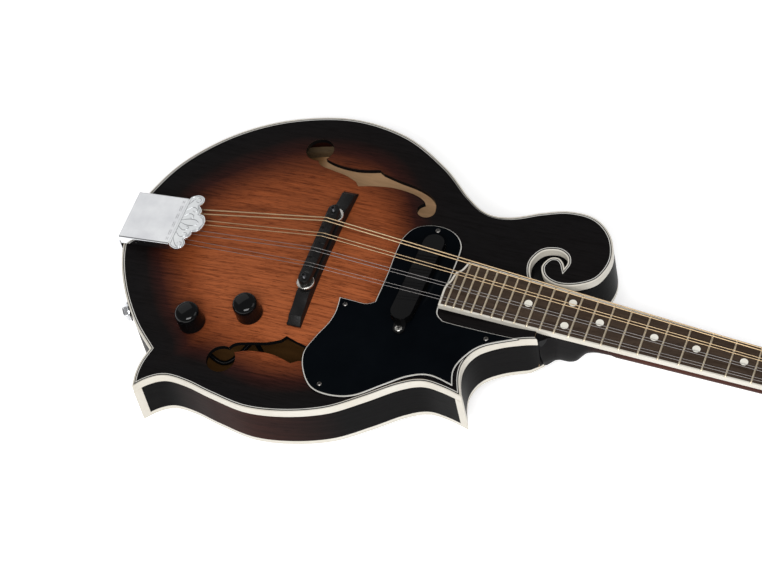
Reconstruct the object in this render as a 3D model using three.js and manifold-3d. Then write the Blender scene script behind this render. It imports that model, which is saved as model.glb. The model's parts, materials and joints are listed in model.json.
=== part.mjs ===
// A mandolin with a scroll, two body points, an arched top with f-holes, a pickup and a pickguard.
//
// Instrument frame, in millimetres: the top's outer edge lies in z = 0, x = 0 is under the fifteenth
// fret, +X points to the headstock, +Y to the bass strings and the scroll. The neck and the headstock
// have frames of their own, pitched back from it. The whole instrument is then turned to lie on its
// back, with the origin in the middle of the small flat that it rests on.
import * as THREE from 'three';
import { mergeVertices } from 'three/addons/utils/BufferGeometryUtils.js';
import Module from 'manifold-3d';

const wasm = await Module();
wasm.setup();

// ---------------------------------------------------------------- driving dimensions
const GAP = 0.3;
const degrees = (angle) => angle * Math.PI / 180;

const SCALE_LENGTH = 352;
const FRET_COUNT = 22;
const NECK_PITCH = degrees(6.43);
const BOARD_HEIGHT_AT_BODY = 4.2;
const BODY_FRET = 15;

const RIM_DEPTH = 40.7;
const RIM_THICKNESS = 2.4;
const PLATE_THICKNESS = 3.6;
const TOP_ARCH = 10.5;
const BACK_ARCH = 12;
const ARCH_CENTRE_X = -155;
const ARCH_TO_TAIL = 142;
const ARCH_TO_NECK = 165;
const ARCH_TO_SIDE = 127;
const ARCH_FLANGE = 1.7;
const ARCH_RINGS = 6;
const ARCH_SEGMENTS = 32;

const BINDING_WIDTH = 1.6;
const TOP_BINDING_HEIGHT = 6.7;
const BACK_BINDING_HEIGHT = 3.6;
const LINING_WIDTH = 5;
const LINING_HEIGHT = 6;
const REST_FLAT_DEPTH = 0.5;
const BLOCK_FACE_X = -24;

const BOARD_THICKNESS = 4.3;
const BOARD_BINDING = 1.5;
const NUT_HALF_WIDTH = 14.4;
const LAST_FRET_HALF_WIDTH = 20.1;
const NUT_LENGTH = 4.2;
const NUT_TOP = 1.2;
const NECK_DEPTH = 13;
const NECK_JOINT_X = 18;
const HEAD_PITCH = degrees(14);
const HEAD_THICKNESS = 13.7;
const VENEER_THICKNESS = 1.5;
const HEAD_LENGTH = 163;

const BRIDGE_X = -147;
const STUD_SPACING = 59;
const STUD_RADIUS = 1.75;
const BASE_TOP = 16.1;
const WHEEL_RADIUS = 6;
const WHEEL_THICKNESS = 2.4;
const WHEEL_BOTTOM = 17.4;
const SADDLE_BOTTOM = 20.1;
const SADDLE_SHOULDER = 25.4;
const SADDLE_CREST = 26.1;

const POST_X = [30, 53, 76, 99];
const POST_Y = 15.5;
const POST_RADIUS = 3;
const GEAR_RADIUS = 5.2;
const GEAR_THICKNESS = 3.4;
const WORM_RADIUS = 2;
const TUNER_PLATE_THICKNESS = 1.2;
const BUTTON_Y = 36;

const COVER_BACK = -295.5;
const COVER_TOP = 12.9;
const COVER_SLOPE = 6;
const COVER_THICKNESS = 1;
const COVER_HALF_WIDTH = 20.5;
const TAIL_X = -298.3;

// ---------------------------------------------------------------- materials
function finish(color, roughness, metalness = 0) {
  return new THREE.MeshStandardMaterial({ color, roughness, metalness });
}
const FINISH = {
  top: () => finish(0x7a3a1c, 0.55),
  sides: () => finish(0x2a1310, 0.5),
  inside: () => finish(0xb08a5c, 0.8),
  binding: () => finish(0xe6dcc6, 0.45),
  rosewood: () => finish(0x3a2620, 0.6),
  ebony: () => finish(0x141312, 0.45),
  plastic: () => finish(0x0b0b0c, 0.2),
  bone: () => finish(0xe9e2cf, 0.4),
  chrome: () => finish(0xc9ccd0, 0.18, 1),
  nickel: () => finish(0xb9b4a8, 0.3, 1),
  bronze: () => finish(0xb98a4a, 0.35, 1),
  steel: () => finish(0x9a9a9c, 0.3, 1),
};

// ---------------------------------------------------------------- solids
function solidOf(geometry) {
  const bare = geometry.clone();
  bare.deleteAttribute('normal');
  bare.deleteAttribute('uv');
  const merged = mergeVertices(bare, 1e-4);
  const index = merged.index.array;
  const triangles = [];
  for (let i = 0; i < index.length; i += 3) {
    const [a, b, c] = [index[i], index[i + 1], index[i + 2]];
    if (a !== b && b !== c && c !== a) triangles.push(a, b, c);
  }
  return new wasm.Manifold(new wasm.Mesh({
    numProp: 3,
    vertProperties: new Float32Array(merged.attributes.position.array),
    triVerts: new Uint32Array(triangles),
  }));
}

function geometryOf(solid) {
  const mesh = solid.getMesh();
  const geometry = new THREE.BufferGeometry();
  geometry.setAttribute('position', new THREE.BufferAttribute(mesh.vertProperties, 3));
  geometry.setIndex(new THREE.BufferAttribute(mesh.triVerts, 1));
  geometry.computeVertexNormals();
  return geometry;
}

const points2 = (pairs) => pairs.map(([x, y]) => new THREE.Vector2(x, y));

function anticlockwise(outline) {
  return THREE.ShapeUtils.isClockWise(outline) ? outline.slice().reverse() : outline;
}

function prismGeometry(outline, bottom, top, hole = null) {
  const shape = new THREE.Shape(anticlockwise(outline));
  if (hole) shape.holes.push(new THREE.Path(anticlockwise(hole)));
  const geometry = new THREE.ExtrudeGeometry(shape, { depth: top - bottom, bevelEnabled: false });
  return geometry.translate(0, 0, bottom);
}
const prism = (outline, bottom, top, hole = null) => solidOf(prismGeometry(outline, bottom, top, hole));

function boxGeometry(low, high) {
  const size = high.map((value, axis) => value - low[axis]);
  const centre = high.map((value, axis) => (value + low[axis]) / 2);
  return new THREE.BoxGeometry(...size).translate(...centre);
}
const box = (low, high) => solidOf(boxGeometry(low, high));

// A turned shape about +Z, from [radius, height] pairs that start and end on the axis or close up.
function turned(pairs, segments = 16) {
  return new THREE.LatheGeometry(points2(pairs), segments).rotateX(Math.PI / 2);
}

function rodGeometry(radius, bottom, top, segments = 12) {
  return turned([[0, bottom], [radius, bottom], [radius, top], [0, top]], segments);
}
const rod = (radius, bottom, top, segments = 12) => solidOf(rodGeometry(radius, bottom, top, segments));

// Extrudes a side view drawn in x and z across the width, from y = -half to y = half.
function acrossGeometry(sideView, halfWidth) {
  const geometry = prismGeometry(sideView, -halfWidth, halfWidth);
  return geometry.rotateX(Math.PI / 2);
}

// ---------------------------------------------------------------- curves
// A smooth run through a few points, cut into steps of about the given length.
function smoothRun(pairs, step) {
  const curve = new THREE.SplineCurve(points2(pairs));
  const spans = pairs.length - 1;
  const run = [];
  for (let span = 0; span < spans; span++) {
    const chord = curve.points[span].distanceTo(curve.points[span + 1]);
    const cuts = Math.max(1, Math.round(chord / step));
    for (let cut = 0; cut < cuts; cut++) {
      run.push(curve.getPoint((span + cut / cuts) / spans));
    }
  }
  run.push(curve.points[spans].clone());
  return run;
}

function joinRuns(runs) {
  return runs.flatMap((run) => run.slice(0, -1));
}

function distanceToOutline(point, outline) {
  let nearest = Infinity;
  for (let i = 0; i < outline.length; i++) {
    const start = outline[i];
    const leg = outline[(i + 1) % outline.length].clone().sub(start);
    const along = THREE.MathUtils.clamp(point.clone().sub(start).dot(leg) / leg.lengthSq(), 0, 1);
    nearest = Math.min(nearest, point.distanceTo(start.clone().addScaledVector(leg, along)));
  }
  return nearest;
}

// Moves a closed outline inwards. Points that a sharp corner leaves too near the old edge drop out.
function inset(outline, distance) {
  const turn = THREE.ShapeUtils.isClockWise(outline) ? -1 : 1;
  const moved = [];
  for (let i = 0; i < outline.length; i++) {
    const here = outline[i];
    const before = here.clone().sub(outline[(i + outline.length - 1) % outline.length]).normalize();
    const after = outline[(i + 1) % outline.length].clone().sub(here).normalize();
    const inward = new THREE.Vector2(-before.y - after.y, before.x + after.x).normalize();
    const half = Math.abs(inward.x * -before.y + inward.y * before.x);
    const reach = distance / Math.max(half, 0.25);
    const point = here.clone().addScaledVector(inward, reach * turn);
    if (distanceToOutline(point, outline) > distance * 0.97) moved.push(point);
  }
  return moved;
}

// ---------------------------------------------------------------- body outline
const SCROLL_STEP = 7;
const BOUT_STEP = 15;

const bassSide = [
  [-242, -97], [-262, -78], [-281, -52], [-294, -24], [-298, 5], [-293, 35], [-278, 66],
  [-250, 96], [-214, 117], [-171, 127.3], [-128, 121], [-91, 100.5], [-66, 79], [-49, 69],
  [-32, 69.5], [-14, 77.5],
];
const scroll = [
  [-14, 77.5], [6, 84], [26, 82.5], [41, 70.5], [48, 52], [44, 34.5], [33, 25.5], [19, 22],
  [7.5, 25.5], [2.3, 34], [6, 42.5], [12.5, 44], [18, 38],
];
const slotWall = [[18, 38], [19, 44.5], [10, 51], [-1.5, 47.5], [-6, 37], [-3.5, 26], [2, 19.5]];
const cutaway = [[18.5, -25], [8, -28], [-7, -34.5], [-19, -43.5], [-24, -55], [-23, -67], [-17, -82]];
const trebleSide = [
  [-17, -82], [-33, -78], [-48, -77], [-63, -84], [-82, -98.5], [-104, -113.5], [-131, -123],
  [-159, -126.5], [-186, -122], [-207, -117], [-223, -116], [-234, -121.5], [-242, -130],
];
const lowerPoint = [[-242, -130], [-244.3, -119], [-244.3, -108], [-242, -97]];

function bodyOutline() {
  return joinRuns([
    smoothRun(bassSide, BOUT_STEP),
    smoothRun(scroll, SCROLL_STEP),
    smoothRun(slotWall, SCROLL_STEP),
    points2([[2, 19.5], [NECK_JOINT_X, 17.5]]),
    points2([[NECK_JOINT_X, 17.5], [NECK_JOINT_X, -18]]),
    points2([[NECK_JOINT_X, -18], [18.5, -25]]),
    smoothRun(cutaway, BOUT_STEP),
    smoothRun(trebleSide, BOUT_STEP),
    smoothRun(lowerPoint, BOUT_STEP),
  ]);
}
const OUTLINE = bodyOutline();

// ---------------------------------------------------------------- arches
const archShape = (ring) => 0.5 + 0.5 * Math.cos(Math.PI * ring);

function archHeight(x, y, rise = TOP_ARCH) {
  const length = x < ARCH_CENTRE_X ? ARCH_TO_TAIL : ARCH_TO_NECK;
  const ring = Math.hypot((x - ARCH_CENTRE_X) / length, y / ARCH_TO_SIDE);
  return rise * archShape(Math.min(ring, 1));
}

// A solid with the arch as its upper side. It is a parallel shell, or is filled down to a flat floor.
function dome(rise, topOffset, { thickness = null, floor = null }) {
  const upper = [];
  for (let ring = 0; ring <= ARCH_RINGS; ring++) {
    upper.push([ring / ARCH_RINGS, rise * archShape(ring / ARCH_RINGS) + topOffset]);
  }
  upper.push([ARCH_FLANGE, topOffset]);
  const lower = thickness === null
    ? [[0, floor], [ARCH_FLANGE, floor]]
    : upper.map(([radius, height]) => [radius, height - thickness]);
  const geometry = turned([...lower, ...upper.slice().reverse()], ARCH_SEGMENTS);
  const position = geometry.attributes.position;
  for (let i = 0; i < position.count; i++) {
    const x = position.getX(i);
    position.setX(i, ARCH_CENTRE_X + x * (x < 0 ? ARCH_TO_TAIL : ARCH_TO_NECK));
    position.setY(i, position.getY(i) * ARCH_TO_SIDE);
  }
  return geometry;
}

// ---------------------------------------------------------------- frames
const boardX = -SCALE_LENGTH * (1 - 2 ** (-BODY_FRET / 12));
const NUT_X = -boardX * Math.cos(NECK_PITCH);
const NUT_Z = BOARD_HEIGHT_AT_BODY + boardX * Math.sin(NECK_PITCH);

const neckFrame = new THREE.Group();
neckFrame.position.set(NUT_X, 0, NUT_Z);
neckFrame.rotation.y = NECK_PITCH;
neckFrame.updateMatrix();

const HEAD_ORIGIN_X = NUT_LENGTH + 2 * GAP;
const HEAD_ORIGIN_Z = -0.9;
const headFrame = new THREE.Group();
headFrame.position.set(HEAD_ORIGIN_X, 0, HEAD_ORIGIN_Z);
headFrame.rotation.y = HEAD_PITCH;
headFrame.updateMatrix();

const neckToBody = neckFrame.matrix;
const bodyToNeck = neckToBody.clone().invert();
const headToNeck = headFrame.matrix;
const headToBody = neckToBody.clone().multiply(headToNeck);

function inNeck(x, z) {
  const point = new THREE.Vector3(x, 0, z).applyMatrix4(bodyToNeck);
  return new THREE.Vector2(point.x, point.z);
}

// The pitch of the floor under the instrument, which touches the back's flat and the headstock's tip.
const HEAD_BACK = -VENEER_THICKNESS - GAP - HEAD_THICKNESS;
const tip = new THREE.Vector3(HEAD_LENGTH, 0, HEAD_BACK).applyMatrix4(headToBody);

function restPoint(pitch) {
  const lean = Math.asin(2 * ARCH_TO_TAIL * Math.tan(pitch) / (Math.PI * BACK_ARCH)) / Math.PI;
  const z = -RIM_DEPTH - BACK_ARCH * archShape(lean) + REST_FLAT_DEPTH;
  return new THREE.Vector3(ARCH_CENTRE_X - lean * ARCH_TO_TAIL, 0, z);
}

function restPitch() {
  let low = 0;
  let high = degrees(7);
  for (let step = 0; step < 40; step++) {
    const middle = (low + high) / 2;
    const rest = restPoint(middle);
    const tooFlat = (rest.z - tip.z) / (tip.x - rest.x) > Math.tan(middle);
    if (tooFlat) low = middle;
    else high = middle;
  }
  return low;
}
const REST_PITCH = restPitch();
const REST = restPoint(REST_PITCH);

// ---------------------------------------------------------------- scene graph
const mandolin = new THREE.Group();
mandolin.rotation.y = -REST_PITCH;
mandolin.position.copy(REST.clone().applyEuler(mandolin.rotation).negate());
mandolin.add(neckFrame);
neckFrame.add(headFrame);

function add(name, shape, material, parent = mandolin) {
  const geometry = shape.isBufferGeometry ? shape : geometryOf(shape);
  const mesh = new THREE.Mesh(geometry, material);
  mesh.name = name;
  parent.add(mesh);
  return mesh;
}

// ---------------------------------------------------------------- f-holes
const F_HOLE_TAIL_SHIFT = 4;
const UPPER_EYE = { x: -91, y: 58.8, radius: 6.6 };
const LOWER_EYE = { x: -185.3, y: 93.8, radius: 10.3 };
const outerEdge = [
  [[-186, 93], [-177, 86.5], [-165, 83], [-150, 82.6], [-136, 86]],
  [[-131.5, 83.3], [-118, 80], [-104, 77.3], [-93, 73], [-86.5, 66.5], [-84.4, 59]],
];
const innerEdge = [
  [[-91, 57], [-94.5, 65.5], [-104, 70.3], [-120, 72], [-134, 70], [-145.5, 66.8]],
  [[-148.5, 70.5], [-158, 74.6], [-170, 77.2], [-181, 81], [-186, 93]],
];

function fHole(side) {
  const shift = side < 0 ? -F_HOLE_TAIL_SHIFT : 0;
  const place = (point) => new THREE.Vector2(point.x + shift, point.y * side);
  const stem = [...outerEdge, ...innerEdge].flatMap((run) => smoothRun(run, 12)).map(place);
  let hole = prism(stem, -15, 20);
  for (const eye of [UPPER_EYE, LOWER_EYE]) {
    const centre = place(new THREE.Vector2(eye.x, eye.y));
    hole = hole.add(solidOf(rodGeometry(eye.radius, -15, 20, 16).translate(centre.x, centre.y, 0)));
  }
  return hole;
}

// ---------------------------------------------------------------- knob places
const KNOBS = { volume: [-219.5, -71], tone: [-181, -56] };

// Places a turned piece on the top, upright on the arch's surface.
function uprightOnTop(x, y) {
  const reach = 1;
  const slopeX = (archHeight(x + reach, y) - archHeight(x - reach, y)) / (2 * reach);
  const slopeY = (archHeight(x, y + reach) - archHeight(x, y - reach)) / (2 * reach);
  const normal = new THREE.Vector3(-slopeX, -slopeY, 1).normalize();
  const turn = new THREE.Quaternion().setFromUnitVectors(new THREE.Vector3(0, 0, 1), normal);
  return new THREE.Matrix4().compose(
    new THREE.Vector3(x, y, archHeight(x, y)), turn, new THREE.Vector3(1, 1, 1));
}

function standOnTop(mesh, [x, y]) {
  uprightOnTop(x, y).decompose(mesh.position, mesh.quaternion, mesh.scale);
  return mesh;
}

// ---------------------------------------------------------------- neck profile views
const NECK_TOP = -BOARD_THICKNESS - GAP;
const UNCUT_TOP = NECK_TOP + 2;
const TENON = { from: NECK_JOINT_X - 20, halfWidth: 12, bottom: -34, top: -9 };

function tenonGeometry(clearance) {
  const side = [
    inNeck(TENON.from - clearance, TENON.bottom - clearance),
    inNeck(NECK_JOINT_X + 4, TENON.bottom - clearance),
    inNeck(NECK_JOINT_X + 4, TENON.top + clearance),
    inNeck(TENON.from - clearance, TENON.top + clearance),
  ];
  return acrossGeometry(side, TENON.halfWidth + clearance);
}

// The part of the neck under the board that is let into the top, and carries the board's support.
function tongueGeometry(clearance) {
  const low = [inNeck(-20, 0).x - clearance, -15.5 - clearance, NECK_TOP - 3 - clearance];
  return boxGeometry(low, [inNeck(30, 0).x, 15.5 + clearance, UNCUT_TOP]);
}

function boardHalfWidth(x) {
  const lastFret = SCALE_LENGTH * (1 - 2 ** (-FRET_COUNT / 12));
  return NUT_HALF_WIDTH + (LAST_FRET_HALF_WIDTH - NUT_HALF_WIDTH) * -x / lastFret;
}

// ---------------------------------------------------------------- shell of the body
const neckRecess = solidOf(boxGeometry([-262, -20.8, NECK_TOP - GAP], [-160, 20.8, 20])
  .applyMatrix4(neckToBody)).add(solidOf(tongueGeometry(GAP).applyMatrix4(neckToBody)));
const tenonPocket = solidOf(tenonGeometry(GAP).applyMatrix4(neckToBody));

function buildShell() {
  const plateEdge = inset(OUTLINE, BINDING_WIDTH + GAP);
  const insideRim = inset(OUTLINE, RIM_THICKNESS + GAP);
  let top = solidOf(dome(TOP_ARCH, 0, { thickness: PLATE_THICKNESS }))
    .intersect(prism(plateEdge, -10, 20))
    .subtract(fHole(1))
    .subtract(fHole(-1))
    .subtract(neckRecess);
  for (const place of Object.values(KNOBS)) {
    top = top.subtract(solidOf(rodGeometry(3.5, -10, 10).applyMatrix4(uprightOnTop(...place))));
  }
  add('top_plate', top, FINISH.top());

  const floor = boxGeometry([-60, -60, -20], [60, 60, 0]);
  floor.rotateY(REST_PITCH).translate(REST.x, 0, REST.z);
  const backShell = dome(BACK_ARCH, 0, { thickness: PLATE_THICKNESS }).rotateX(Math.PI);
  const back = solidOf(backShell.translate(0, 0, -RIM_DEPTH))
    .intersect(prism(plateEdge, -RIM_DEPTH - 20, -RIM_DEPTH + 10))
    .subtract(solidOf(floor));
  add('back_plate', back, FINISH.sides());

  const bindingInner = inset(OUTLINE, BINDING_WIDTH);
  add('top_binding', prism(OUTLINE, -TOP_BINDING_HEIGHT, 0, bindingInner).subtract(neckRecess),
    FINISH.binding());
  add('back_binding', prism(OUTLINE, -RIM_DEPTH, -RIM_DEPTH + BACK_BINDING_HEIGHT, bindingInner),
    FINISH.binding());

  const rimTop = -TOP_BINDING_HEIGHT - GAP;
  const rimBottom = -RIM_DEPTH + BACK_BINDING_HEIGHT + GAP;
  const jackHole = solidOf(rodGeometry(6, -12, 6, 12).applyMatrix4(jackMatrix));
  add('rim_sides', prism(OUTLINE, rimBottom, rimTop, inset(OUTLINE, RIM_THICKNESS))
    .subtract(tenonPocket).subtract(jackHole), FINISH.sides());

  const blockTop = -PLATE_THICKNESS - GAP;
  const blockBottom = -RIM_DEPTH + PLATE_THICKNESS + GAP;
  const filled = prism(insideRim, blockBottom, blockTop);
  const behindBlock = box([-310, -140, -60], [BLOCK_FACE_X - GAP, 140, 20]);
  function liningRing(bottom, top, clearance = 0) {
    return prism(insideRim, bottom - clearance, top + clearance)
      .intersect(behindBlock)
      .subtract(prism(inset(insideRim, LINING_WIDTH + clearance), -60, 20));
  }
  const upperLining = [blockTop - LINING_HEIGHT, blockTop];
  const lowerLining = [blockBottom, blockBottom + LINING_HEIGHT];
  add('top_lining', liningRing(...upperLining), FINISH.inside());
  add('back_lining', liningRing(...lowerLining), FINISH.inside());
  add('neck_block', filled.intersect(box([BLOCK_FACE_X, -50, -60], [60, 140, 20]))
    .subtract(tenonPocket).subtract(neckRecess), FINISH.inside());
  add('tail_block', filled.intersect(box([-310, -34, -60], [-273, 34, 20]))
    .subtract(liningRing(...upperLining, GAP))
    .subtract(liningRing(...lowerLining, GAP)), FINISH.inside());

  const underTop = solidOf(dome(TOP_ARCH, -PLATE_THICKNESS - GAP, { floor: -30 }));
  for (const [name, side] of [['tone_bar_bass', 1], ['tone_bar_treble', -1]]) {
    const bar = boxGeometry([-235, -3, -6], [-70, 3, 12]).translate(0, side * 27, 0);
    add(name, solidOf(bar).intersect(underTop), FINISH.inside());
  }
}

// ---------------------------------------------------------------- output jack on the rim
const JACK = { x: -276.3, y: -59.3, z: -19, outwards: degrees(212) };
const jackMatrix = new THREE.Matrix4()
  .makeTranslation(JACK.x, JACK.y, JACK.z)
  .multiply(new THREE.Matrix4().makeRotationZ(JACK.outwards))
  .multiply(new THREE.Matrix4().makeRotationY(Math.PI / 2));

function buildJack() {
  const holder = new THREE.Group();
  jackMatrix.decompose(holder.position, holder.quaternion, holder.scale);
  mandolin.add(holder);
  const washerFace = 2.2;
  const profile = [
    [0, -22], [8, -22], [8, -4.2], [4.7, -4.2], [4.7, washerFace + GAP], [6.6, washerFace + GAP],
    [6.6, washerFace + 2.4], [4.7, washerFace + 2.4], [4.7, washerFace + 3.8],
    [3.3, washerFace + 3.8], [3.3, -18], [0, -18],
  ];
  add('output_jack', turned(profile, 16), FINISH.chrome(), holder);
  const washer = turned([[5, washerFace - 1.3], [7.4, washerFace - 1.3], [7.4, washerFace],
    [5, washerFace], [5, washerFace - 1.3]], 20);
  add('jack_washer', washer, FINISH.chrome(), holder);
}

// ---------------------------------------------------------------- neck and headstock
const headEdge = [
  [0, 15.5], [9, 17.5], [20, 22.5], [45, 25], [80, 27], [112, 30], [136, 36], [147, 38.5],
];
const headCrown = [[147, 38.5], [154, 34], [158, 24], [HEAD_LENGTH, 11]];

function headOutline() {
  const half = [...smoothRun(headEdge, 16), ...smoothRun(headCrown, 9).slice(1)];
  const mirrored = half.map((point) => new THREE.Vector2(point.x, -point.y)).reverse();
  return [...half, ...mirrored];
}

function neckSection(x, halfWidth, depth, count = 11) {
  const ring = [];
  for (let i = 0; i < count; i++) {
    const turn = Math.PI * i / (count - 1);
    const drop = i === 0 || i === count - 1 ? 0 : Math.sin(turn) ** 0.7;
    const z = drop === 0 ? UNCUT_TOP : NECK_TOP - depth * drop;
    ring.push(new THREE.Vector3(x, halfWidth * Math.cos(turn), z));
  }
  return ring;
}

// A closed skin through rings of equal count that lie one after another along +X.
function loft(rings) {
  const count = rings[0].length;
  const positions = rings.flat().flatMap((point) => [point.x, point.y, point.z]);
  const index = [];
  for (let ring = 0; ring < rings.length - 1; ring++) {
    for (let i = 0; i < count; i++) {
      const next = (i + 1) % count;
      const [a, b] = [ring * count + i, ring * count + next];
      const [c, d] = [a + count, b + count];
      index.push(a, c, b, b, c, d);
    }
  }
  for (let i = 1; i < count - 1; i++) {
    const last = (rings.length - 1) * count;
    index.push(0, i, i + 1, last, last + i + 1, last + i);
  }
  const geometry = new THREE.BufferGeometry();
  geometry.setAttribute('position', new THREE.Float32BufferAttribute(positions, 3));
  geometry.setIndex(index);
  return geometry;
}

const heelEdge = () => [
  inNeck(NECK_JOINT_X + GAP, -RIM_DEPTH + 0.5), inNeck(34, -RIM_DEPTH + 0.5),
  inNeck(40, -37), inNeck(44.5, -31), inNeck(48.5, -25.5), inNeck(56, -22),
];

function buildNeck() {
  const stations = [[-170, 15.5], [-110, 14.5], [-50, 13.6], [10.5, NECK_DEPTH]];
  const shaft = solidOf(loft(stations.map(([x, depth]) => neckSection(x, boardHalfWidth(x), depth))));
  const heelSide = [
    ...heelEdge(), new THREE.Vector2(-148, UNCUT_TOP), aboveNeck(NECK_JOINT_X + GAP),
  ];
  const heel = solidOf(acrossGeometry(heelSide, 17));
  const supportSide = [inNeck(-49, -20), inNeck(30, -20), aboveNeck(30), aboveNeck(-49)];
  const support = solidOf(acrossGeometry(supportSide, 15.5))
    .subtract(solidOf(dome(TOP_ARCH, GAP, { floor: -30 }).applyMatrix4(bodyToNeck)));
  const head = solidOf(prismGeometry(headOutline(), HEAD_BACK, HEAD_BACK + HEAD_THICKNESS)
    .applyMatrix4(headToNeck));
  const channel = box([-176, -2.6, -11], [16, 2.6, NECK_TOP + 3]);
  const aboveTop = box([-280, -30, NECK_TOP], [30, 30, 30]);
  const nutShelf = box([-5, -30, NECK_TOP], [HEAD_ORIGIN_X - GAP / 2, 30, 30]);
  let neck = shaft.add(heel).add(support)
    .add(solidOf(tongueGeometry(0)))
    .add(solidOf(tenonGeometry(0)))
    .subtract(aboveTop)
    .add(head.subtract(nutShelf))
    .subtract(channel);
  for (const x of POST_X) {
    for (const y of [POST_Y, -POST_Y]) {
      neck = neck.subtract(solidOf(rodGeometry(3.6, -30, 10).translate(x, y, 0)
        .applyMatrix4(headToNeck)));
    }
  }
  add('neck', neck, FINISH.sides(), neckFrame);
  add('truss_rod', solidOf(rodGeometry(2, -172, 12, 10).rotateY(Math.PI / 2)
    .translate(0, 0, -8.4)), FINISH.steel(), neckFrame);
}

function aboveNeck(x) {
  return new THREE.Vector2(inNeck(x, 0).x, UNCUT_TOP);
}

function boardOutline() {
  const bassEnd = -250;
  const trebleEnd = -258;
  const ogee = smoothRun([[-250.9, 15.2], [-254.4, 10], [-256, 4], [trebleEnd, -2]], 4);
  return [
    new THREE.Vector2(-GAP, boardHalfWidth(0)),
    new THREE.Vector2(bassEnd, boardHalfWidth(bassEnd)),
    ...ogee,
    new THREE.Vector2(trebleEnd, -boardHalfWidth(trebleEnd)),
    new THREE.Vector2(-GAP, -boardHalfWidth(0)),
  ];
}

function fretX(fret) {
  return -SCALE_LENGTH * (1 - 2 ** (-fret / 12));
}

function buildBoard() {
  const outline = boardOutline();
  const innerOutline = inset(outline, BOARD_BINDING + GAP);
  const inner = prism(innerOutline, -BOARD_THICKNESS, 0);
  let board = inner;
  const fretZone = prism(innerOutline, -1, 2);
  for (let fret = 1; fret <= FRET_COUNT; fret++) {
    const x = fretX(fret);
    board = board.add(box([x - 0.6, -25, -0.5], [x + 0.6, 25, 0.9]).intersect(fretZone));
  }
  add('fretboard', board, FINISH.rosewood(), neckFrame);
  const ring = prism(outline, -BOARD_THICKNESS, 0, inset(outline, BOARD_BINDING));
  add('fretboard_binding', ring.subtract(box([-BOARD_BINDING - 2, -12, -10], [5, 12, 10])),
    FINISH.binding(), neckFrame);
  const nutSide = points2([
    [GAP, NECK_TOP + GAP], [GAP + NUT_LENGTH, NECK_TOP + GAP], [GAP + NUT_LENGTH, 0.2], [GAP, NUT_TOP],
  ]);
  add('nut', acrossGeometry(nutSide, NUT_HALF_WIDTH), FINISH.bone(), neckFrame);
}

function buildHeadFittings() {
  let veneer = prism(headOutline(), -VENEER_THICKNESS, 0)
    .subtract(box([-5, -30, -10], [1.5, 30, 10]));
  for (const x of POST_X) {
    for (const y of [POST_Y, -POST_Y]) {
      veneer = veneer.subtract(solidOf(rodGeometry(3.6, -5, 5).translate(x, y, 0)));
    }
  }
  add('headstock_veneer', veneer, FINISH.ebony(), headFrame);
  const bell = [[6, 4.5], [12, 5.5], [20, 5], [27, 2.5], [30, 0]];
  const half = smoothRun(bell, 4);
  const outline = [...half, ...half.slice(0, -1).map((p) => new THREE.Vector2(p.x, -p.y)).reverse()];
  add('truss_rod_cover', prism(outline, GAP, GAP + 1.1), FINISH.plastic(), headFrame);
}

// ---------------------------------------------------------------- tuners
const WORM_OFFSET = GEAR_RADIUS + WORM_RADIUS + GAP;
const PLATE_TOP = HEAD_BACK - GAP;
const PLATE_BOTTOM = PLATE_TOP - TUNER_PLATE_THICKNESS;
const GEAR_TOP = PLATE_BOTTOM - GAP;
const WORM_Z = GEAR_TOP - WORM_RADIUS;
const POST_TOP = 13;

function tunerShaft() {
  const profile = [
    [0, -4], [WORM_RADIUS, -4], [WORM_RADIUS, 4.5], [1.4, 4.5], [1.4, BUTTON_Y - POST_Y + 1],
    [0, BUTTON_Y - POST_Y + 1],
  ];
  const shaft = solidOf(new THREE.LatheGeometry(points2(profile), 8));
  const oval = new THREE.EllipseCurve(0, 0, 7, 5, 0, 2 * Math.PI).getPoints(12).slice(0, -1);
  const button = prismGeometry(oval, -2.3, 2.3).rotateY(Math.PI / 2)
    .translate(0, BUTTON_Y - POST_Y + 5, 0);
  return geometryOf(shaft.add(solidOf(button)));
}

function tunerPost() {
  return turned([
    [0, GEAR_TOP - GEAR_THICKNESS], [GEAR_RADIUS, GEAR_TOP - GEAR_THICKNESS], [GEAR_RADIUS, GEAR_TOP],
    [POST_RADIUS, GEAR_TOP], [POST_RADIUS, POST_TOP], [0, POST_TOP + 0.8],
  ], 12);
}

function buildTuners() {
  for (const [side, label] of [[1, 'bass'], [-1, 'treble']]) {
    const first = POST_X[0] - 10;
    const last = POST_X[POST_X.length - 1] + 14;
    let plate = box([first, POST_Y - 7, PLATE_BOTTOM], [last, POST_Y + 8.5, PLATE_TOP]);
    for (const x of POST_X) {
      const wormX = x + WORM_OFFSET;
      plate = plate.subtract(solidOf(rodGeometry(3.6, -60, 10).translate(x, POST_Y, 0)));
      const lug = box([wormX - 3, POST_Y + 5.2, WORM_Z - 3], [wormX + 3, POST_Y + 6.8, PLATE_BOTTOM + 0.5]);
      const bearing = rodGeometry(1.8, -5, 5, 8).rotateX(Math.PI / 2)
        .translate(wormX, POST_Y + 6, WORM_Z);
      plate = plate.add(lug).subtract(solidOf(bearing));
    }
    if (side < 0) plate = plate.mirror([0, 1, 0]);
    add(`tuner_plate_${label}`, plate, FINISH.nickel(), headFrame);
    POST_X.forEach((x, i) => {
      const post = add(`tuner_post_${label}_${i + 1}`, tunerPost(), FINISH.nickel(), headFrame);
      post.position.set(x, side * POST_Y, 0);
      const shaft = add(`tuner_shaft_${label}_${i + 1}`, tunerShaft(), FINISH.nickel(), headFrame);
      shaft.position.set(x + WORM_OFFSET, side * POST_Y, WORM_Z);
      shaft.rotation.z = side > 0 ? 0 : Math.PI;
    });
  }
}

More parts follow.
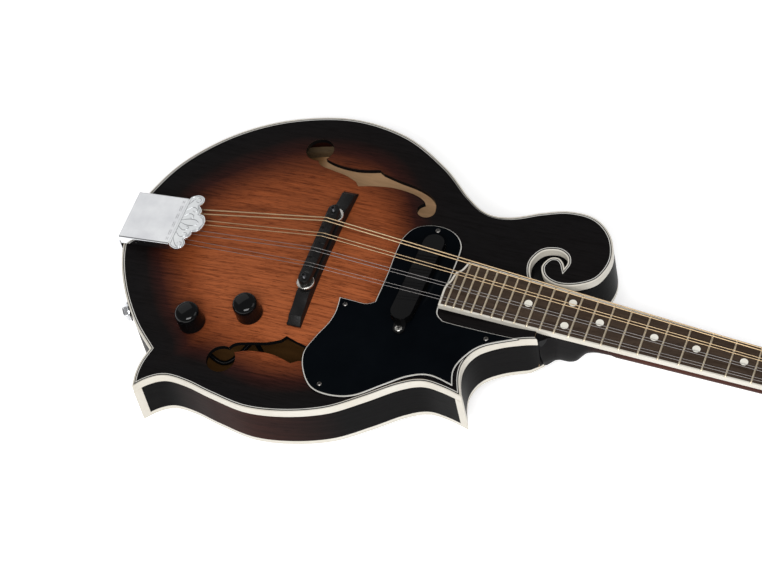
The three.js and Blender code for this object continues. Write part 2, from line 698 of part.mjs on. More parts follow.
// ---------------------------------------------------------------- pickguard and pickup
const PICKGUARD_LIFT = 0.3;
const PICKGUARD_THICKNESS = 2.2;
const pickguardRuns = [
  [[-98, -27], [-103, -30.5], [-112, -31], [-124, -31.5]],
  [[-124, -31.5], [-123, -42], [-124.5, -51], [-130, -64], [-133.3, -77], [-129, -90.5],
    [-119, -101.5], [-104, -104], [-88, -100], [-71, -87], [-57, -76.5], [-43, -72], [-25, -76]],
  [[-25, -76], [-28.2, -64], [-25, -52.5], [-15.5, -40], [7, -28.5]],
  [[7, -28.5], [-45, -28.5], [-52.5, -26], [-54.5, -19]],
  [[-54.5, -19], [-54.5, 24], [-57, 37], [-66, 45], [-79, 46.5], [-91, 41.5], [-97, 31], [-98, 18],
    [-97.3, -5], [-98, -27]],
];
const PICKUP = { x: -74.8, y: -2, turn: degrees(-3), length: 74, width: 15.2, top: 12.4 };

function racetrack(length, width) {
  const radius = width / 2;
  const track = new THREE.Shape();
  track.absarc(0, length / 2 - radius, radius, 0, Math.PI);
  track.absarc(0, -length / 2 + radius, radius, Math.PI, 2 * Math.PI);
  return track.getPoints(6);
}

function buildPickguard() {
  const outline = joinRuns(pickguardRuns.map((run) => smoothRun(run, 13)));
  const place = (geometry) => geometry.rotateZ(PICKUP.turn).translate(PICKUP.x, PICKUP.y, 0);
  const lift = PICKGUARD_LIFT + PICKGUARD_THICKNESS;
  const pickupHole = place(prismGeometry(racetrack(PICKUP.length + 0.8, PICKUP.width + 0.8), -5, 25));
  const guard = solidOf(dome(TOP_ARCH, lift, { thickness: PICKGUARD_THICKNESS }))
    .intersect(prism(outline, -10, 30))
    .subtract(solidOf(pickupHole));
  add('pickguard', guard, FINISH.plastic());
  const block = place(prismGeometry(racetrack(PICKUP.length, PICKUP.width), -2, PICKUP.top));
  add('pickup', solidOf(block)
    .subtract(solidOf(dome(TOP_ARCH, GAP, { floor: -30 }))), FINISH.plastic());
}

// ---------------------------------------------------------------- controls
function buildControls() {
  const knob = [
    [0, 13.5], [3.4, 13.5], [3.4, 1.4], [9.6, 1.4], [9.4, 13], [8.6, 16.4], [6.4, 17.8], [0, 18.4],
  ];
  const pot = [
    [0, -15.5], [8, -15.5], [8, -6.2], [3, -6.2], [3, 12.8], [0, 12.8],
  ];
  for (const [label, place] of Object.entries(KNOBS)) {
    standOnTop(add(`${label}_knob`, turned(knob, 20), FINISH.plastic()), place);
    standOnTop(add(`${label}_pot`, turned(pot, 12), FINISH.nickel()), place);
  }
}

// ---------------------------------------------------------------- bridge
const STUD_BOTTOM = BASE_TOP - 4;
const STUD_TOP = SADDLE_SHOULDER + 2.2;
const crestShift = [-1.4, 0.7, -1.2, 0.9];

function buildBridge() {
  const half = [[0, BASE_TOP], [37, BASE_TOP], [44, 13.6], [52.5, 12], [58.5, 7.2], [58.5, 0]];
  const profile = [
    ...half.slice(1), ...half.slice(1).map(([y, z]) => [-y, z]).reverse(),
  ];
  const blank = prismGeometry(points2(profile), -5, 5).rotateX(Math.PI / 2).rotateZ(Math.PI / 2)
    .translate(BRIDGE_X, 0, 0);
  let base = solidOf(blank).subtract(solidOf(dome(TOP_ARCH, GAP, { floor: -30 })));
  let saddle = prism(racetrack(STUD_SPACING + 9.4, 8.6), SADDLE_BOTTOM, SADDLE_SHOULDER);
  crestShift.forEach((shift, course) => {
    const y = 19.5 - 13 * course;
    saddle = saddle.add(box([shift - 2, y - 6.5, SADDLE_SHOULDER - 1], [shift + 2, y + 6.5, SADDLE_CREST]));
  });
  for (const [label, side] of [['bass', 1], ['treble', -1]]) {
    const y = side * STUD_SPACING / 2;
    const hole = rodGeometry(STUD_RADIUS + 0.35, STUD_BOTTOM - GAP, 40, 10);
    base = base.subtract(solidOf(hole.clone().translate(BRIDGE_X, y, 0)));
    saddle = saddle.subtract(solidOf(hole.clone().translate(0, y, 0)));
    const stud = add(`bridge_stud_${label}`, rodGeometry(STUD_RADIUS, STUD_BOTTOM, STUD_TOP, 10),
      FINISH.nickel());
    stud.position.set(BRIDGE_X, y, 0);
    const bore = STUD_RADIUS + 0.35;
    const wheelTop = WHEEL_BOTTOM + WHEEL_THICKNESS;
    const wheel = add(`thumbwheel_${label}`, turned([
      [bore, WHEEL_BOTTOM], [WHEEL_RADIUS, WHEEL_BOTTOM], [WHEEL_RADIUS, wheelTop], [bore, wheelTop],
      [bore, WHEEL_BOTTOM],
    ], 16), FINISH.nickel());
    wheel.position.set(BRIDGE_X, y, 0);
  }
  add('bridge_base', base, FINISH.ebony());
  add('bridge_saddle', saddle, FINISH.ebony()).position.x = BRIDGE_X;
}

// ---------------------------------------------------------------- tailpiece
const HOOK_SPACING = 4;
const HOOK_X = -268;
const STRING_AT_HOOK = 10;
const BASE_PLATE_TOP = 4.4;
const coverFront = [
  [[-254.6, 20.5], [-253, 22.4], [-248.3, 24], [-244, 22.2], [-243, 18.2], [-245.1, 15]],
  [[-245.1, 15], [-242.6, 12.6], [-241.4, 10], [-242, 8]],
  [[-242, 8], [-238.2, 7], [-235.8, 3.5], [-235.2, 0]],
];

function stringY(course) {
  return (3.5 - course) * HOOK_SPACING;
}

function buildTailpiece() {
  const plateUnder = BASE_PLATE_TOP - 1.2;
  let base = box([TAIL_X - 1.2, -17, plateUnder], [-262, 17, BASE_PLATE_TOP])
    .add(box([TAIL_X - 1.2, -17, -33], [TAIL_X, 17, BASE_PLATE_TOP]));
  for (let i = 0; i < 8; i++) {
    const y = stringY(i);
    base = base.add(box([HOOK_X - 3.2, y - 0.8, plateUnder], [HOOK_X - 1.8, y + 0.8, STRING_AT_HOOK + 1.5]));
  }
  add('tailpiece_base', base, FINISH.chrome());

  const front = joinRuns(coverFront.map((run) => smoothRun(run, 5)));
  const half = [new THREE.Vector2(COVER_BACK, COVER_HALF_WIDTH), ...front];
  const mirrored = half.map((point) => new THREE.Vector2(point.x, -point.y)).reverse();
  const outline = [...half, new THREE.Vector2(-235.2, 0), ...mirrored];
  let cover = prism(outline, COVER_TOP - COVER_THICKNESS, COVER_TOP);
  for (const side of [1, -1]) {
    const edge = side * COVER_HALF_WIDTH;
    const inner = side * (COVER_HALF_WIDTH - COVER_THICKNESS);
    cover = cover.add(box([COVER_BACK, Math.min(edge, inner), COVER_TOP - 7.5],
      [-258.5, Math.max(edge, inner), COVER_TOP]));
  }
  // The cover rises towards the bridge, and turns about its back edge.
  cover = cover.translate([-COVER_BACK, 0, -COVER_TOP]).rotate([0, -COVER_SLOPE, 0])
    .translate([COVER_BACK, 0, COVER_TOP]);
  add('tailpiece_cover', cover, FINISH.chrome());
}

// ---------------------------------------------------------------- strings
// A path of straight legs. Its samples fall on the corners, so each leg is one step.
class StraightLegs extends THREE.Curve {
  constructor(corners) {
    super();
    this.corners = corners;
  }

  getPoint(t, target = new THREE.Vector3()) {
    const legs = this.corners.length - 1;
    const leg = Math.min(Math.floor(t * legs), legs - 1);
    return target.lerpVectors(this.corners[leg], this.corners[leg + 1], t * legs - leg);
  }

  getSpacedPoints(divisions) {
    return this.getPoints(divisions);
  }
}

const STRINGS = [
  { name: 'string_g1', radius: 0.51, post: 0, side: 1 },
  { name: 'string_g2', radius: 0.51, post: 1, side: 1 },
  { name: 'string_d1', radius: 0.33, post: 2, side: 1 },
  { name: 'string_d2', radius: 0.33, post: 3, side: 1 },
  { name: 'string_a1', radius: 0.2, post: 3, side: -1 },
  { name: 'string_a2', radius: 0.2, post: 2, side: -1 },
  { name: 'string_e1', radius: 0.15, post: 1, side: -1 },
  { name: 'string_e2', radius: 0.15, post: 0, side: -1 },
];
const COIL_HEIGHT = 5;

function buildStrings() {
  STRINGS.forEach((string, i) => {
    const course = Math.floor(i / 2);
    const within = i % 2 === 0 ? 0.5 : -0.5;
    const lift = GAP + string.radius;
    const saddleY = 19.5 - 13 * course + within * 2.7;
    const nutY = 10.8 - 7.2 * course + within * 1.9;
    const postX = POST_X[string.post];
    const postY = string.side * (POST_Y - POST_RADIUS - GAP - string.radius);
    const end = new THREE.Vector3(postX, postY, COIL_HEIGHT).applyMatrix4(headToBody);
    const nut = new THREE.Vector3(GAP + NUT_LENGTH * 0.4, nutY, NUT_TOP + lift).applyMatrix4(neckToBody);
    const path = new StraightLegs([
      new THREE.Vector3(HOOK_X, stringY(i), STRING_AT_HOOK),
      new THREE.Vector3(BRIDGE_X + crestShift[course], saddleY, SADDLE_CREST + lift),
      nut,
      end,
    ]);
    const section = new THREE.EllipseCurve(0, 0, string.radius, string.radius, 0, 2 * Math.PI);
    const shape = new THREE.Shape(section.getPoints(6).slice(0, -1));
    const geometry = new THREE.ExtrudeGeometry(shape, { extrudePath: path, steps: 3 });
    add(string.name, solidOf(geometry), i < 4 ? FINISH.bronze() : FINISH.steel());
  });
}

buildShell();
buildJack();
buildNeck();
buildBoard();
buildHeadFittings();
buildTuners();
buildPickguard();
buildControls();
buildBridge();
buildTailpiece();
buildStrings();

export default mandolin;
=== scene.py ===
"""Looks of the mandolin: fine surfaces, materials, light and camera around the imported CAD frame.

Shapes are worked out in millimetres in the instrument frame (z = 0 is the top's outer edge, x = 0 is
under the fifteenth fret, +X to the headstock, +Y to the bass side), then placed in the row frame.
"""
import json
import math

import bpy
import numpy as np
from mathutils import Matrix, Vector
from mathutils.geometry import delaunay_2d_cdt


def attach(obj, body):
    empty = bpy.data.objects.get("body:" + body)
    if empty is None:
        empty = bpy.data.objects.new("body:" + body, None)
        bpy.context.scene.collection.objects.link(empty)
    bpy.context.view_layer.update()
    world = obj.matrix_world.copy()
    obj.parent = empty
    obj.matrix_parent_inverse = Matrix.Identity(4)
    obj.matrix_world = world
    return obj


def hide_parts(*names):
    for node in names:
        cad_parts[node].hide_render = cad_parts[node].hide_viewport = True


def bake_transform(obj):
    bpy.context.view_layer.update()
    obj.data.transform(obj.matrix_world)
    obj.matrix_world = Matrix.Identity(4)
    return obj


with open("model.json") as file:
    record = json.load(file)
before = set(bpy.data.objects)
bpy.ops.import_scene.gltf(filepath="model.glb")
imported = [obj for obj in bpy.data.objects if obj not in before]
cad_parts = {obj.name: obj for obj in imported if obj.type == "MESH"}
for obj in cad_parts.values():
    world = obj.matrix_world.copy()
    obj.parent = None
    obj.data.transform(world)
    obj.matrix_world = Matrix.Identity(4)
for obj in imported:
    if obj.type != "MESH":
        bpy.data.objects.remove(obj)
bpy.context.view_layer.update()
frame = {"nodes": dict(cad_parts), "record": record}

# ------------------------------------------------------------------ dimensions, in millimetres
SCALE_LENGTH = 352.0
FRETS = 22
FRET_HALF = 0.75
PITCH = math.radians(6.43)
BOARD_AT_BODY = 4.2
RIM_DEPTH = 40.7
PLATE = 3.6
TOP_ARCH, BACK_ARCH = 10.5, 12.0
ARCH_X, TO_TAIL, TO_NECK, TO_SIDE = -155.0, 142.0, 165.0, 127.0
TOP_BINDING, BACK_BINDING = 6.7, 3.6
BOARD = 4.3
GAP = 0.3
NUT_LENGTH, NUT_TOP = 4.2, 1.2
HEAD_PITCH = math.radians(14)
HEAD_THICK, VENEER, HEAD_LENGTH = 13.7, 1.5, 163.0
BRIDGE_X, STUD_Y = -147.0, 29.5
BASE_TOP, WHEEL_BOTTOM, WHEEL = 16.1, 17.4, 2.4
SADDLE_BOTTOM, SHOULDER, CREST = 20.1, 25.4, 26.1
POST_X, POST_Y, POST_R = (30, 53, 76, 99), 15.5, 3.0
GEAR_R, GEAR, WORM_R, TUNER_PLATE = 5.2, 3.4, 2.0, 1.2
HOOK_X, HOOK_Z, HOOK_STEP = -268.0, 10.0, 4.0
COVER_BACK, COVER_TOP, COVER, COVER_Y = -295.5, 12.9, 1.0, 20.5
COVER_SLOPE = math.radians(6)
COVER_FRONT_X, COVER_TIP, COVER_BEND, COVER_SKIRT = -255.4, -235.2, 1.2, 7.5
PURFLING = (1.2, 1.75, 2.3)
BACK_LIP = 1.7
KNOBS = {"volume": (-219.5, -71), "tone": (-181, -56)}
SIDES = (("bass", 1), ("treble", -1))
NECK_TOP = -BOARD - GAP
HEAD_BACK = -VENEER - GAP - HEAD_THICK


# ------------------------------------------------------------------ frames
def turn_y(angle, origin):
    return Matrix.Translation(Vector(origin)) @ Matrix.Rotation(angle, 4, "Y")


BODY_X = -SCALE_LENGTH * (1 - 2 ** (-15 / 12))
NUT_X = -BODY_X * math.cos(PITCH)
NUT_Z = BOARD_AT_BODY + BODY_X * math.sin(PITCH)
NECK_IN_BODY = turn_y(PITCH, (NUT_X, 0, NUT_Z))
HEAD_IN_BODY = NECK_IN_BODY @ turn_y(HEAD_PITCH, (NUT_LENGTH + 2 * GAP, 0, -0.9))


def arch_shape(ring):
    return 0.5 + 0.5 * np.cos(np.pi * np.minimum(ring, 1))


def arch(x, y, rise=TOP_ARCH):
    """Height of the carved arch above its flange."""
    x, y = np.asarray(x, float), np.asarray(y, float)
    length = np.where(x < ARCH_X, TO_TAIL, TO_NECK)
    return rise * arch_shape(np.hypot((x - ARCH_X) / length, y / TO_SIDE))


def rest_point(pitch):
    """The point of the back that touches the floor when the instrument leans by pitch."""
    lean = math.asin(2 * TO_TAIL * math.tan(pitch) / (math.pi * BACK_ARCH)) / math.pi
    return ARCH_X - lean * TO_TAIL, -RIM_DEPTH - BACK_ARCH * float(arch_shape(lean)) + 0.5


def rest_pitch():
    tip = HEAD_IN_BODY @ Vector((HEAD_LENGTH, 0, HEAD_BACK))
    low, high = 0.0, math.radians(7)
    for _ in range(40):
        middle = (low + high) / 2
        x, z = rest_point(middle)
        if (z - tip.z) / (tip.x - x) > math.tan(middle):
            low = middle
        else:
            high = middle
    return low


REST = rest_pitch()
_x, _z = rest_point(REST)
BODY = Matrix.Scale(0.001, 4) @ Matrix.Rotation(-REST, 4, "Y") @ Matrix.Translation((-_x, 0, -_z))
NECK = BODY @ NECK_IN_BODY
HEAD = BODY @ HEAD_IN_BODY


def in_neck(x, z):
    p = NECK_IN_BODY.inverted() @ Vector((x, 0, z))
    return p.x, p.z


# ------------------------------------------------------------------ curves
def smooth_run(knots, step):
    """A uniform Catmull-Rom run through the knots, cut into steps of about the given length."""
    p = np.array(knots, float)
    run = []
    for i in range(len(p) - 1):
        p0, p1, p2, p3 = p[max(i - 1, 0)], p[i], p[i + 1], p[min(i + 2, len(p) - 1)]
        v0, v1 = (p2 - p0) / 2, (p3 - p1) / 2
        cuts = max(1, round(float(np.linalg.norm(p2 - p1)) / step))
        for cut in range(cuts):
            t = cut / cuts
            run.append((2 * p1 - 2 * p2 + v0 + v1) * t ** 3
                       + (-3 * p1 + 3 * p2 - 2 * v0 - v1) * t ** 2 + v0 * t + p1)
    run.append(p[-1])
    return np.array(run)


def join_runs(runs):
    return np.vstack([run[:-1] for run in runs])


def mirrored(half):
    """A half outline with its mirror image across the X axis, which it may end on."""
    other = half[:-1] if half[-1, 1] == 0 else half
    return np.vstack([half, (other * (1, -1))[::-1]])


def anticlockwise(outline):
    x, y = outline[:, 0], outline[:, 1]
    area = np.sum(x * np.roll(y, -1) - np.roll(x, -1) * y)
    return outline if area > 0 else outline[::-1]


def distance_to(points, outline):
    """Distance of each point to a closed outline."""
    start, leg = outline, np.roll(outline, -1, 0) - outline
    size = np.maximum((leg ** 2).sum(1), 1e-12)
    best = np.full(len(points), 1e9)
    for a, d, s in zip(start, leg, size):
        t = np.clip(((points - a) @ d) / s, 0, 1)
        best = np.minimum(best, np.hypot(*(points - a - t[:, None] * d).T))
    return best


def inside(points, outline):
    x, y = points[:, 0], points[:, 1]
    hit = np.zeros(len(points), bool)
    for (ax, ay), (bx, by) in zip(outline, np.roll(outline, -1, 0)):
        if ay != by:
            hit ^= ((ay > y) != (by > y)) & (x < (bx - ax) * (y - ay) / (by - ay) + ax)
    return hit


def inset(outline, distance):
    """The outline moved inwards. Points that a corner leaves too near the old edge drop out."""
    o = anticlockwise(outline)
    before = o - np.roll(o, 1, 0)
    after = np.roll(o, -1, 0) - o
    before /= np.linalg.norm(before, axis=1)[:, None]
    after /= np.linalg.norm(after, axis=1)[:, None]
    inward = np.stack([-before[:, 1] - after[:, 1], before[:, 0] + after[:, 0]], 1)
    inward /= np.maximum(np.linalg.norm(inward, axis=1), 1e-9)[:, None]
    half = np.abs(inward[:, 0] * -before[:, 1] + inward[:, 1] * before[:, 0])
    moved = o + inward * (distance / np.maximum(half, 0.4))[:, None]
    return moved[distance_to(moved, o) > abs(distance) * 0.97]


BASS_SIDE = [(-242, -97), (-262, -78), (-281, -52), (-294, -24), (-298, 5), (-293, 35), (-278, 66),
             (-250, 96), (-214, 117), (-171, 127.3), (-128, 121), (-91, 100.5), (-66, 79), (-49, 69),
             (-32, 69.5), (-14, 77.5)]
SCROLL = [(-14, 77.5), (6, 84), (26, 82.5), (41, 70.5), (48, 52), (44, 34.5), (33, 25.5), (19, 22),
          (7.5, 25.5), (2.3, 34), (5.5, 42.3), (11.5, 43.9), (15.8, 40.8), (18, 37)]
SLOT_WALL = [(18, 37), (18.9, 41.5), (16.2, 47), (9, 49.8), (-0.8, 46.6), (-5.6, 36.5), (-3.3, 26), (2, 19.5)]
CUTAWAY = [(18.5, -25), (8, -28), (-7, -34.5), (-19, -43.5), (-24, -55), (-23, -67), (-17, -82)]
TREBLE_SIDE = [(-17, -82), (-33, -78), (-48, -77), (-63, -84), (-82, -98.5), (-104, -113.5),
               (-131, -123), (-159, -126.5), (-186, -122), (-207, -117), (-223, -116),
               (-234, -121.5), (-242, -130)]
LOWER_POINT = [(-242, -130), (-244.3, -119), (-244.3, -108), (-242, -97)]
JOINT_X = 18
OUTLINE = anticlockwise(join_runs([
    smooth_run(BASS_SIDE[:-1] + SCROLL[:1], 2.6),
    smooth_run(SCROLL, 1.4),
    smooth_run(SLOT_WALL, 1.4),
    smooth_run([(2, 19.5), (JOINT_X, 17.5)], 4),
    smooth_run([(JOINT_X, 17.5), (JOINT_X, -18)], 4),
    smooth_run([(JOINT_X, -18), (18.5, -25)], 3),
    smooth_run(CUTAWAY, 2.4),
    smooth_run(TREBLE_SIDE, 2.6),
    smooth_run(LOWER_POINT, 2.6),
]))


# ------------------------------------------------------------------ meshes
def piece(name, verts, faces, place, paint, slot=None, body="body", replaces=(), smooth=40,
          values=None, bevel=None):
    """Makes one named piece from millimetre points, puts it in the row frame and rides it on a body.

    A bevel is a width in millimetres and a count of segments. Values shade the paint, point by point.
    """
    mesh = bpy.data.meshes.new(name)
    m = np.array(place)
    v = np.asarray(verts, float) @ m[:3, :3].T + m[:3, 3]
    mesh.from_pydata(v.tolist(), [], [list(map(int, f)) for f in faces])
    mesh.validate()
    if values is not None:
        layer = mesh.attributes.new("shade", "FLOAT", "POINT")
        layer.data.foreach_set("value", np.asarray(values, np.float32))
    mesh.materials.append(paint)
    obj = bpy.data.objects.new(name, mesh)
    bpy.context.scene.collection.objects.link(obj)
    if bevel:
        edge = obj.modifiers.new("soft edge", "BEVEL")
        edge.width = bevel[0] / 1000
        edge.segments = bevel[1]
        edge.limit_method = "ANGLE"
        edge.angle_limit = math.radians(35)
    mesh.shade_smooth()
    mesh.set_sharp_from_angle(angle=math.radians(smooth))
    if body:
        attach(obj, body)
    if replaces:
        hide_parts(*replaces)
    return obj


def flip(faces):
    return [tuple(reversed(f)) for f in faces]


def triangulate(loops, holes=(), spacing=None, lines=()):
    """Triangles of the area inside the first loop and outside the holes, with a grid of inner points."""
    points, edges = [], []
    for loop in list(loops) + list(holes) + list(lines):
        start = len(points)
        points += [tuple(p) for p in loop]
        edges += [(start + i, start + (i + 1) % len(loop)) for i in range(len(loop))]
    if spacing:
        (x0, y0), (x1, y1) = loops[0].min(0), loops[0].max(0)
        grid = np.array([(x + (spacing / 2) * (row % 2), y)
                         for row, y in enumerate(np.arange(y0, y1, spacing * 0.866))
                         for x in np.arange(x0, x1, spacing)])
        near = np.min([distance_to(grid, loop) for loop in list(loops) + list(holes) + list(lines)], 0)
        points += [tuple(p) for p in grid[inside(grid, loops[0]) & (near > spacing * 0.45)]]
    verts, _, faces, _, _, _ = delaunay_2d_cdt([Vector(p) for p in points], edges, [], 0, 1e-5)
    xy = np.array([(v.x, v.y) for v in verts])
    tri = np.array([f for f in faces if len(f) == 3])
    middle = xy[tri].mean(1)
    keep = inside(middle, loops[0])
    for hole in holes:
        keep &= ~inside(middle, hole)
    tri = tri[keep]
    a, b, c = xy[tri[:, 0]], xy[tri[:, 1]], xy[tri[:, 2]]
    area = (b[:, 0] - a[:, 0]) * (c[:, 1] - a[:, 1]) - (b[:, 1] - a[:, 1]) * (c[:, 0] - a[:, 0])
    tri[area < 0] = tri[area < 0][:, ::-1]
    used = np.unique(tri)
    order = -np.ones(len(xy), int)
    order[used] = np.arange(len(used))
    return xy[used], order[tri]


def edge_loop(tri):
    """The directed edges that only one triangle uses."""
    seen = {}
    for a, b, c in tri:
        for e in ((a, b), (b, c), (c, a)):
            seen[e] = True
    return [e for e in seen if (e[1], e[0]) not in seen]


def slab(xy, tri, top, bottom):
    """A closed solid between two heights over a triangulated area. Heights are arrays or numbers."""
    n = len(xy)
    high = np.column_stack([xy, np.broadcast_to(top, n)])
    low = np.column_stack([xy, np.broadcast_to(bottom, n)])
    faces = [tuple(t) for t in tri] + [tuple(t[::-1] + n) for t in tri]
    faces += [(b, a, a + n, b + n) for a, b in edge_loop(tri)]
    return np.vstack([high, low]), faces


def prism(outline, bottom, top, holes=(), spacing=None):
    xy, tri = triangulate([outline], holes, spacing)
    return slab(xy, tri, top, bottom)


def lathe(profile, segments=48, centre=(0, 0, 0), ripple=None):
    """A turned shape about +Z. A profile that ends on the axis closes there, another closes on itself."""
    profile = np.array(profile, float)
    open_ends = profile[0, 0] < 1e-6 and profile[-1, 0] < 1e-6
    ring = profile[1:-1] if open_ends else profile
    verts, faces = [], []
    for i in range(segments):
        a = 2 * math.pi * i / segments
        for k, (r, z) in enumerate(ring):
            rr = r * (ripple(i, k, r) if ripple else 1)
            verts.append((rr * math.cos(a), rr * math.sin(a), z))
    n = len(ring)
    last = n - 1 if open_ends else n
    for i in range(segments):
        j = (i + 1) % segments
        for k in range(last):
            m = (k + 1) % n
            faces.append((i * n + k, j * n + k, j * n + m, i * n + m))
    if open_ends:
        verts += [(0, 0, profile[0, 1]), (0, 0, profile[-1, 1])]
        low, high = len(verts) - 2, len(verts) - 1
        for i in range(segments):
            j = (i + 1) % segments
            faces.append((low, j * n, i * n))
            faces.append((high, i * n + n - 1, j * n + n - 1))
    return np.array(verts) + np.array(centre, float), faces


def loft(rings, closed=True, caps=True):
    """A skin through rings of equal count."""
    n = len(rings[0])
    verts = np.vstack(rings)
    faces = []
    for r in range(len(rings) - 1):
        for i in range(n if closed else n - 1):
            j = (i + 1) % n
            faces.append((r * n + i, r * n + j, (r + 1) * n + j, (r + 1) * n + i))
    if caps:
        faces.append(tuple(range(n))[::-1])
        faces.append(tuple(range((len(rings) - 1) * n, len(rings) * n)))
    return verts, faces


def tube(path, radius, sides=8, radii=None):
    """A round tube along a path of points."""
    p = np.array(path, float)
    tangent = np.gradient(p, axis=0)
    tangent /= np.linalg.norm(tangent, axis=1)[:, None]
    normal = np.cross(tangent[0], (0, 0, 1) if abs(tangent[0][2]) < 0.9 else (1, 0, 0))
    rings = []
    for i, t in enumerate(tangent):
        normal = normal - t * (normal @ t)
        normal /= np.linalg.norm(normal)
        side = np.cross(t, normal)
        r = radii[i] if radii is not None else radius
        a = np.arange(sides) * 2 * math.pi / sides
        rings.append(p[i] + r * (np.outer(np.cos(a), normal) + np.outer(np.sin(a), side)))
    return loft(rings)


def merge(parts):
    verts, faces, start = [], [], 0
    for v, f in parts:
        verts.append(np.asarray(v, float))
        faces += [tuple(i + start for i in face) for face in f]
        start += len(v)
    return np.vstack(verts), faces


def circle(x, y, r, count=32):
    a = np.arange(count) * 2 * math.pi / count
    return np.column_stack([x + r * np.cos(a), y + r * np.sin(a)])


def move(part, matrix):
    v, f = part
    m = np.array(matrix)
    return np.asarray(v, float) @ m[:3, :3].T + m[:3, 3], f


# ------------------------------------------------------------------ materials
class Paint:
    """A small helper that wires one procedural material."""

    def __init__(self, name, roughness=0.4, metallic=0.0, specular=0.5):
        self.material = bpy.data.materials.new(name)
        self.material.use_nodes = True
        self.tree = self.material.node_tree
        self.shader = self.tree.nodes["Principled BSDF"]
        self.shader.inputs["Metallic"].default_value = metallic
        self.shader.inputs["Roughness"].default_value = roughness
        self.shader.inputs["Specular IOR Level"].default_value = specular
        self.place = self.tree.nodes.new("ShaderNodeTexCoord").outputs["Object"]
        self.height = None

    def link(self, a, b):
        self.tree.links.new(a, b)

    def noise(self, scale, stretch=(1, 1, 1), detail=4, roughness=0.55, distortion=0.0):
        """Noise over the row frame, in cells per metre, as a 0 to 1 factor."""
        mapping = self.tree.nodes.new("ShaderNodeMapping")
        mapping.inputs["Scale"].default_value = [scale * s for s in stretch]
        self.link(self.place, mapping.inputs["Vector"])
        node = self.tree.nodes.new("ShaderNodeTexNoise")
        node.inputs["Scale"].default_value = 1.0
        node.inputs["Detail"].default_value = detail
        node.inputs["Roughness"].default_value = roughness
        node.inputs["Distortion"].default_value = distortion
        self.link(mapping.outputs["Vector"], node.inputs["Vector"])
        return node.outputs["Fac"]

    def ramp(self, factor, stops):
        node = self.tree.nodes.new("ShaderNodeValToRGB")
        ramp = node.color_ramp
        while len(ramp.elements) < len(stops):
            ramp.elements.new(0.5)
        for element, (at, colour) in zip(ramp.elements, stops):
            element.position = at
            element.color = (*colour, 1) if len(colour) == 3 else colour
        self.link(factor, node.inputs["Fac"])
        return node.outputs["Color"]

    def math(self, kind, a, b):
        node = self.tree.nodes.new("ShaderNodeMath")
        node.operation = kind
        for value, socket in zip((a, b), node.inputs):
            if isinstance(value, (int, float)):
                socket.default_value = value
            else:
                self.link(value, socket)
        return node.outputs[0]

    def mix(self, factor, a, b, kind="MIX"):
        node = self.tree.nodes.new("ShaderNodeMix")
        node.data_type = "RGBA"
        node.blend_type = kind
        for value, socket in ((factor, node.inputs[0]), (a, node.inputs[6]), (b, node.inputs[7])):
            if isinstance(value, (int, float)):
                socket.default_value = value
            elif isinstance(value, tuple):
                socket.default_value = (*value, 1)
            else:
                self.link(value, socket)
        return node.outputs[2]

    def shade(self):
        node = self.tree.nodes.new("ShaderNodeAttribute")
        node.attribute_name = "shade"
        return node.outputs["Fac"]

    def colour(self, socket):
        self.link(socket, self.shader.inputs["Base Color"])

    def rough(self, factor, low, high):
        node = self.tree.nodes.new("ShaderNodeMapRange")
        node.inputs["To Min"].default_value = low
        node.inputs["To Max"].default_value = high
        self.link(factor, node.inputs["Value"])
        self.link(node.outputs["Result"], self.shader.inputs["Roughness"])

    def bump(self, factor, distance, strength=1.0):
        node = self.tree.nodes.new("ShaderNodeBump")
        node.inputs["Distance"].default_value = distance
        node.inputs["Strength"].default_value = strength
        self.link(factor, node.inputs["Height"])
        if self.height is not None:
            self.link(self.height, node.inputs["Normal"])
        self.height = node.outputs["Normal"]
        self.link(self.height, self.shader.inputs["Normal"])


def lines_of_grain(paint, across=(14, 700, 14)):
    """Two scales of grain that run along X: the broad growth rings and the fine pores."""
    rings = paint.noise(1, (across[0] * 0.35, across[1] * 0.3, across[2] * 20), 3, 0.6, 0.4)
    pores = paint.noise(1, (across[0] * 4, across[1] * 2.2, across[2] * 60), 3, 0.7)
    return rings, pores


def make_sunburst():
    p = Paint("sunburst_top", roughness=0.42, specular=0.07)
    rings = p.noise(1, (20, 640, 40), 4, 0.66, 0.35)
    pores = p.noise(1, (85, 1700, 120), 3, 0.75)
    mottle = p.noise(9, detail=3)
    burst = p.math("ADD", p.shade(), p.math("MULTIPLY", p.math("SUBTRACT", mottle, 0.5), 0.24))
    base = p.ramp(burst, [(0.0, (0.0045, 0.0040, 0.0043)), (0.16, (0.0055, 0.0040, 0.0040)),
                          (0.34, (0.026, 0.0068, 0.0048)), (0.52, (0.098, 0.024, 0.0085)),
                          (0.76, (0.215, 0.053, 0.016)), (1.0, (0.30, 0.081, 0.027))])
    ring_tint = p.ramp(rings, [(0.34, (0.62, 0.55, 0.51)), (0.50, (1, 1, 1)), (0.66, (1.22, 1.19, 1.15))])
    pore_tint = p.ramp(pores, [(0.38, (0.36, 0.30, 0.27)), (0.48, (1, 1, 1))])
    p.colour(p.mix(0.9, p.mix(0.9, base, ring_tint, "MULTIPLY"), pore_tint, "MULTIPLY"))
    p.rough(pores, 0.58, 0.42)
    p.bump(pores, 0.00012, 0.6)
    p.bump(rings, 0.00010, 0.3)
    return p.material


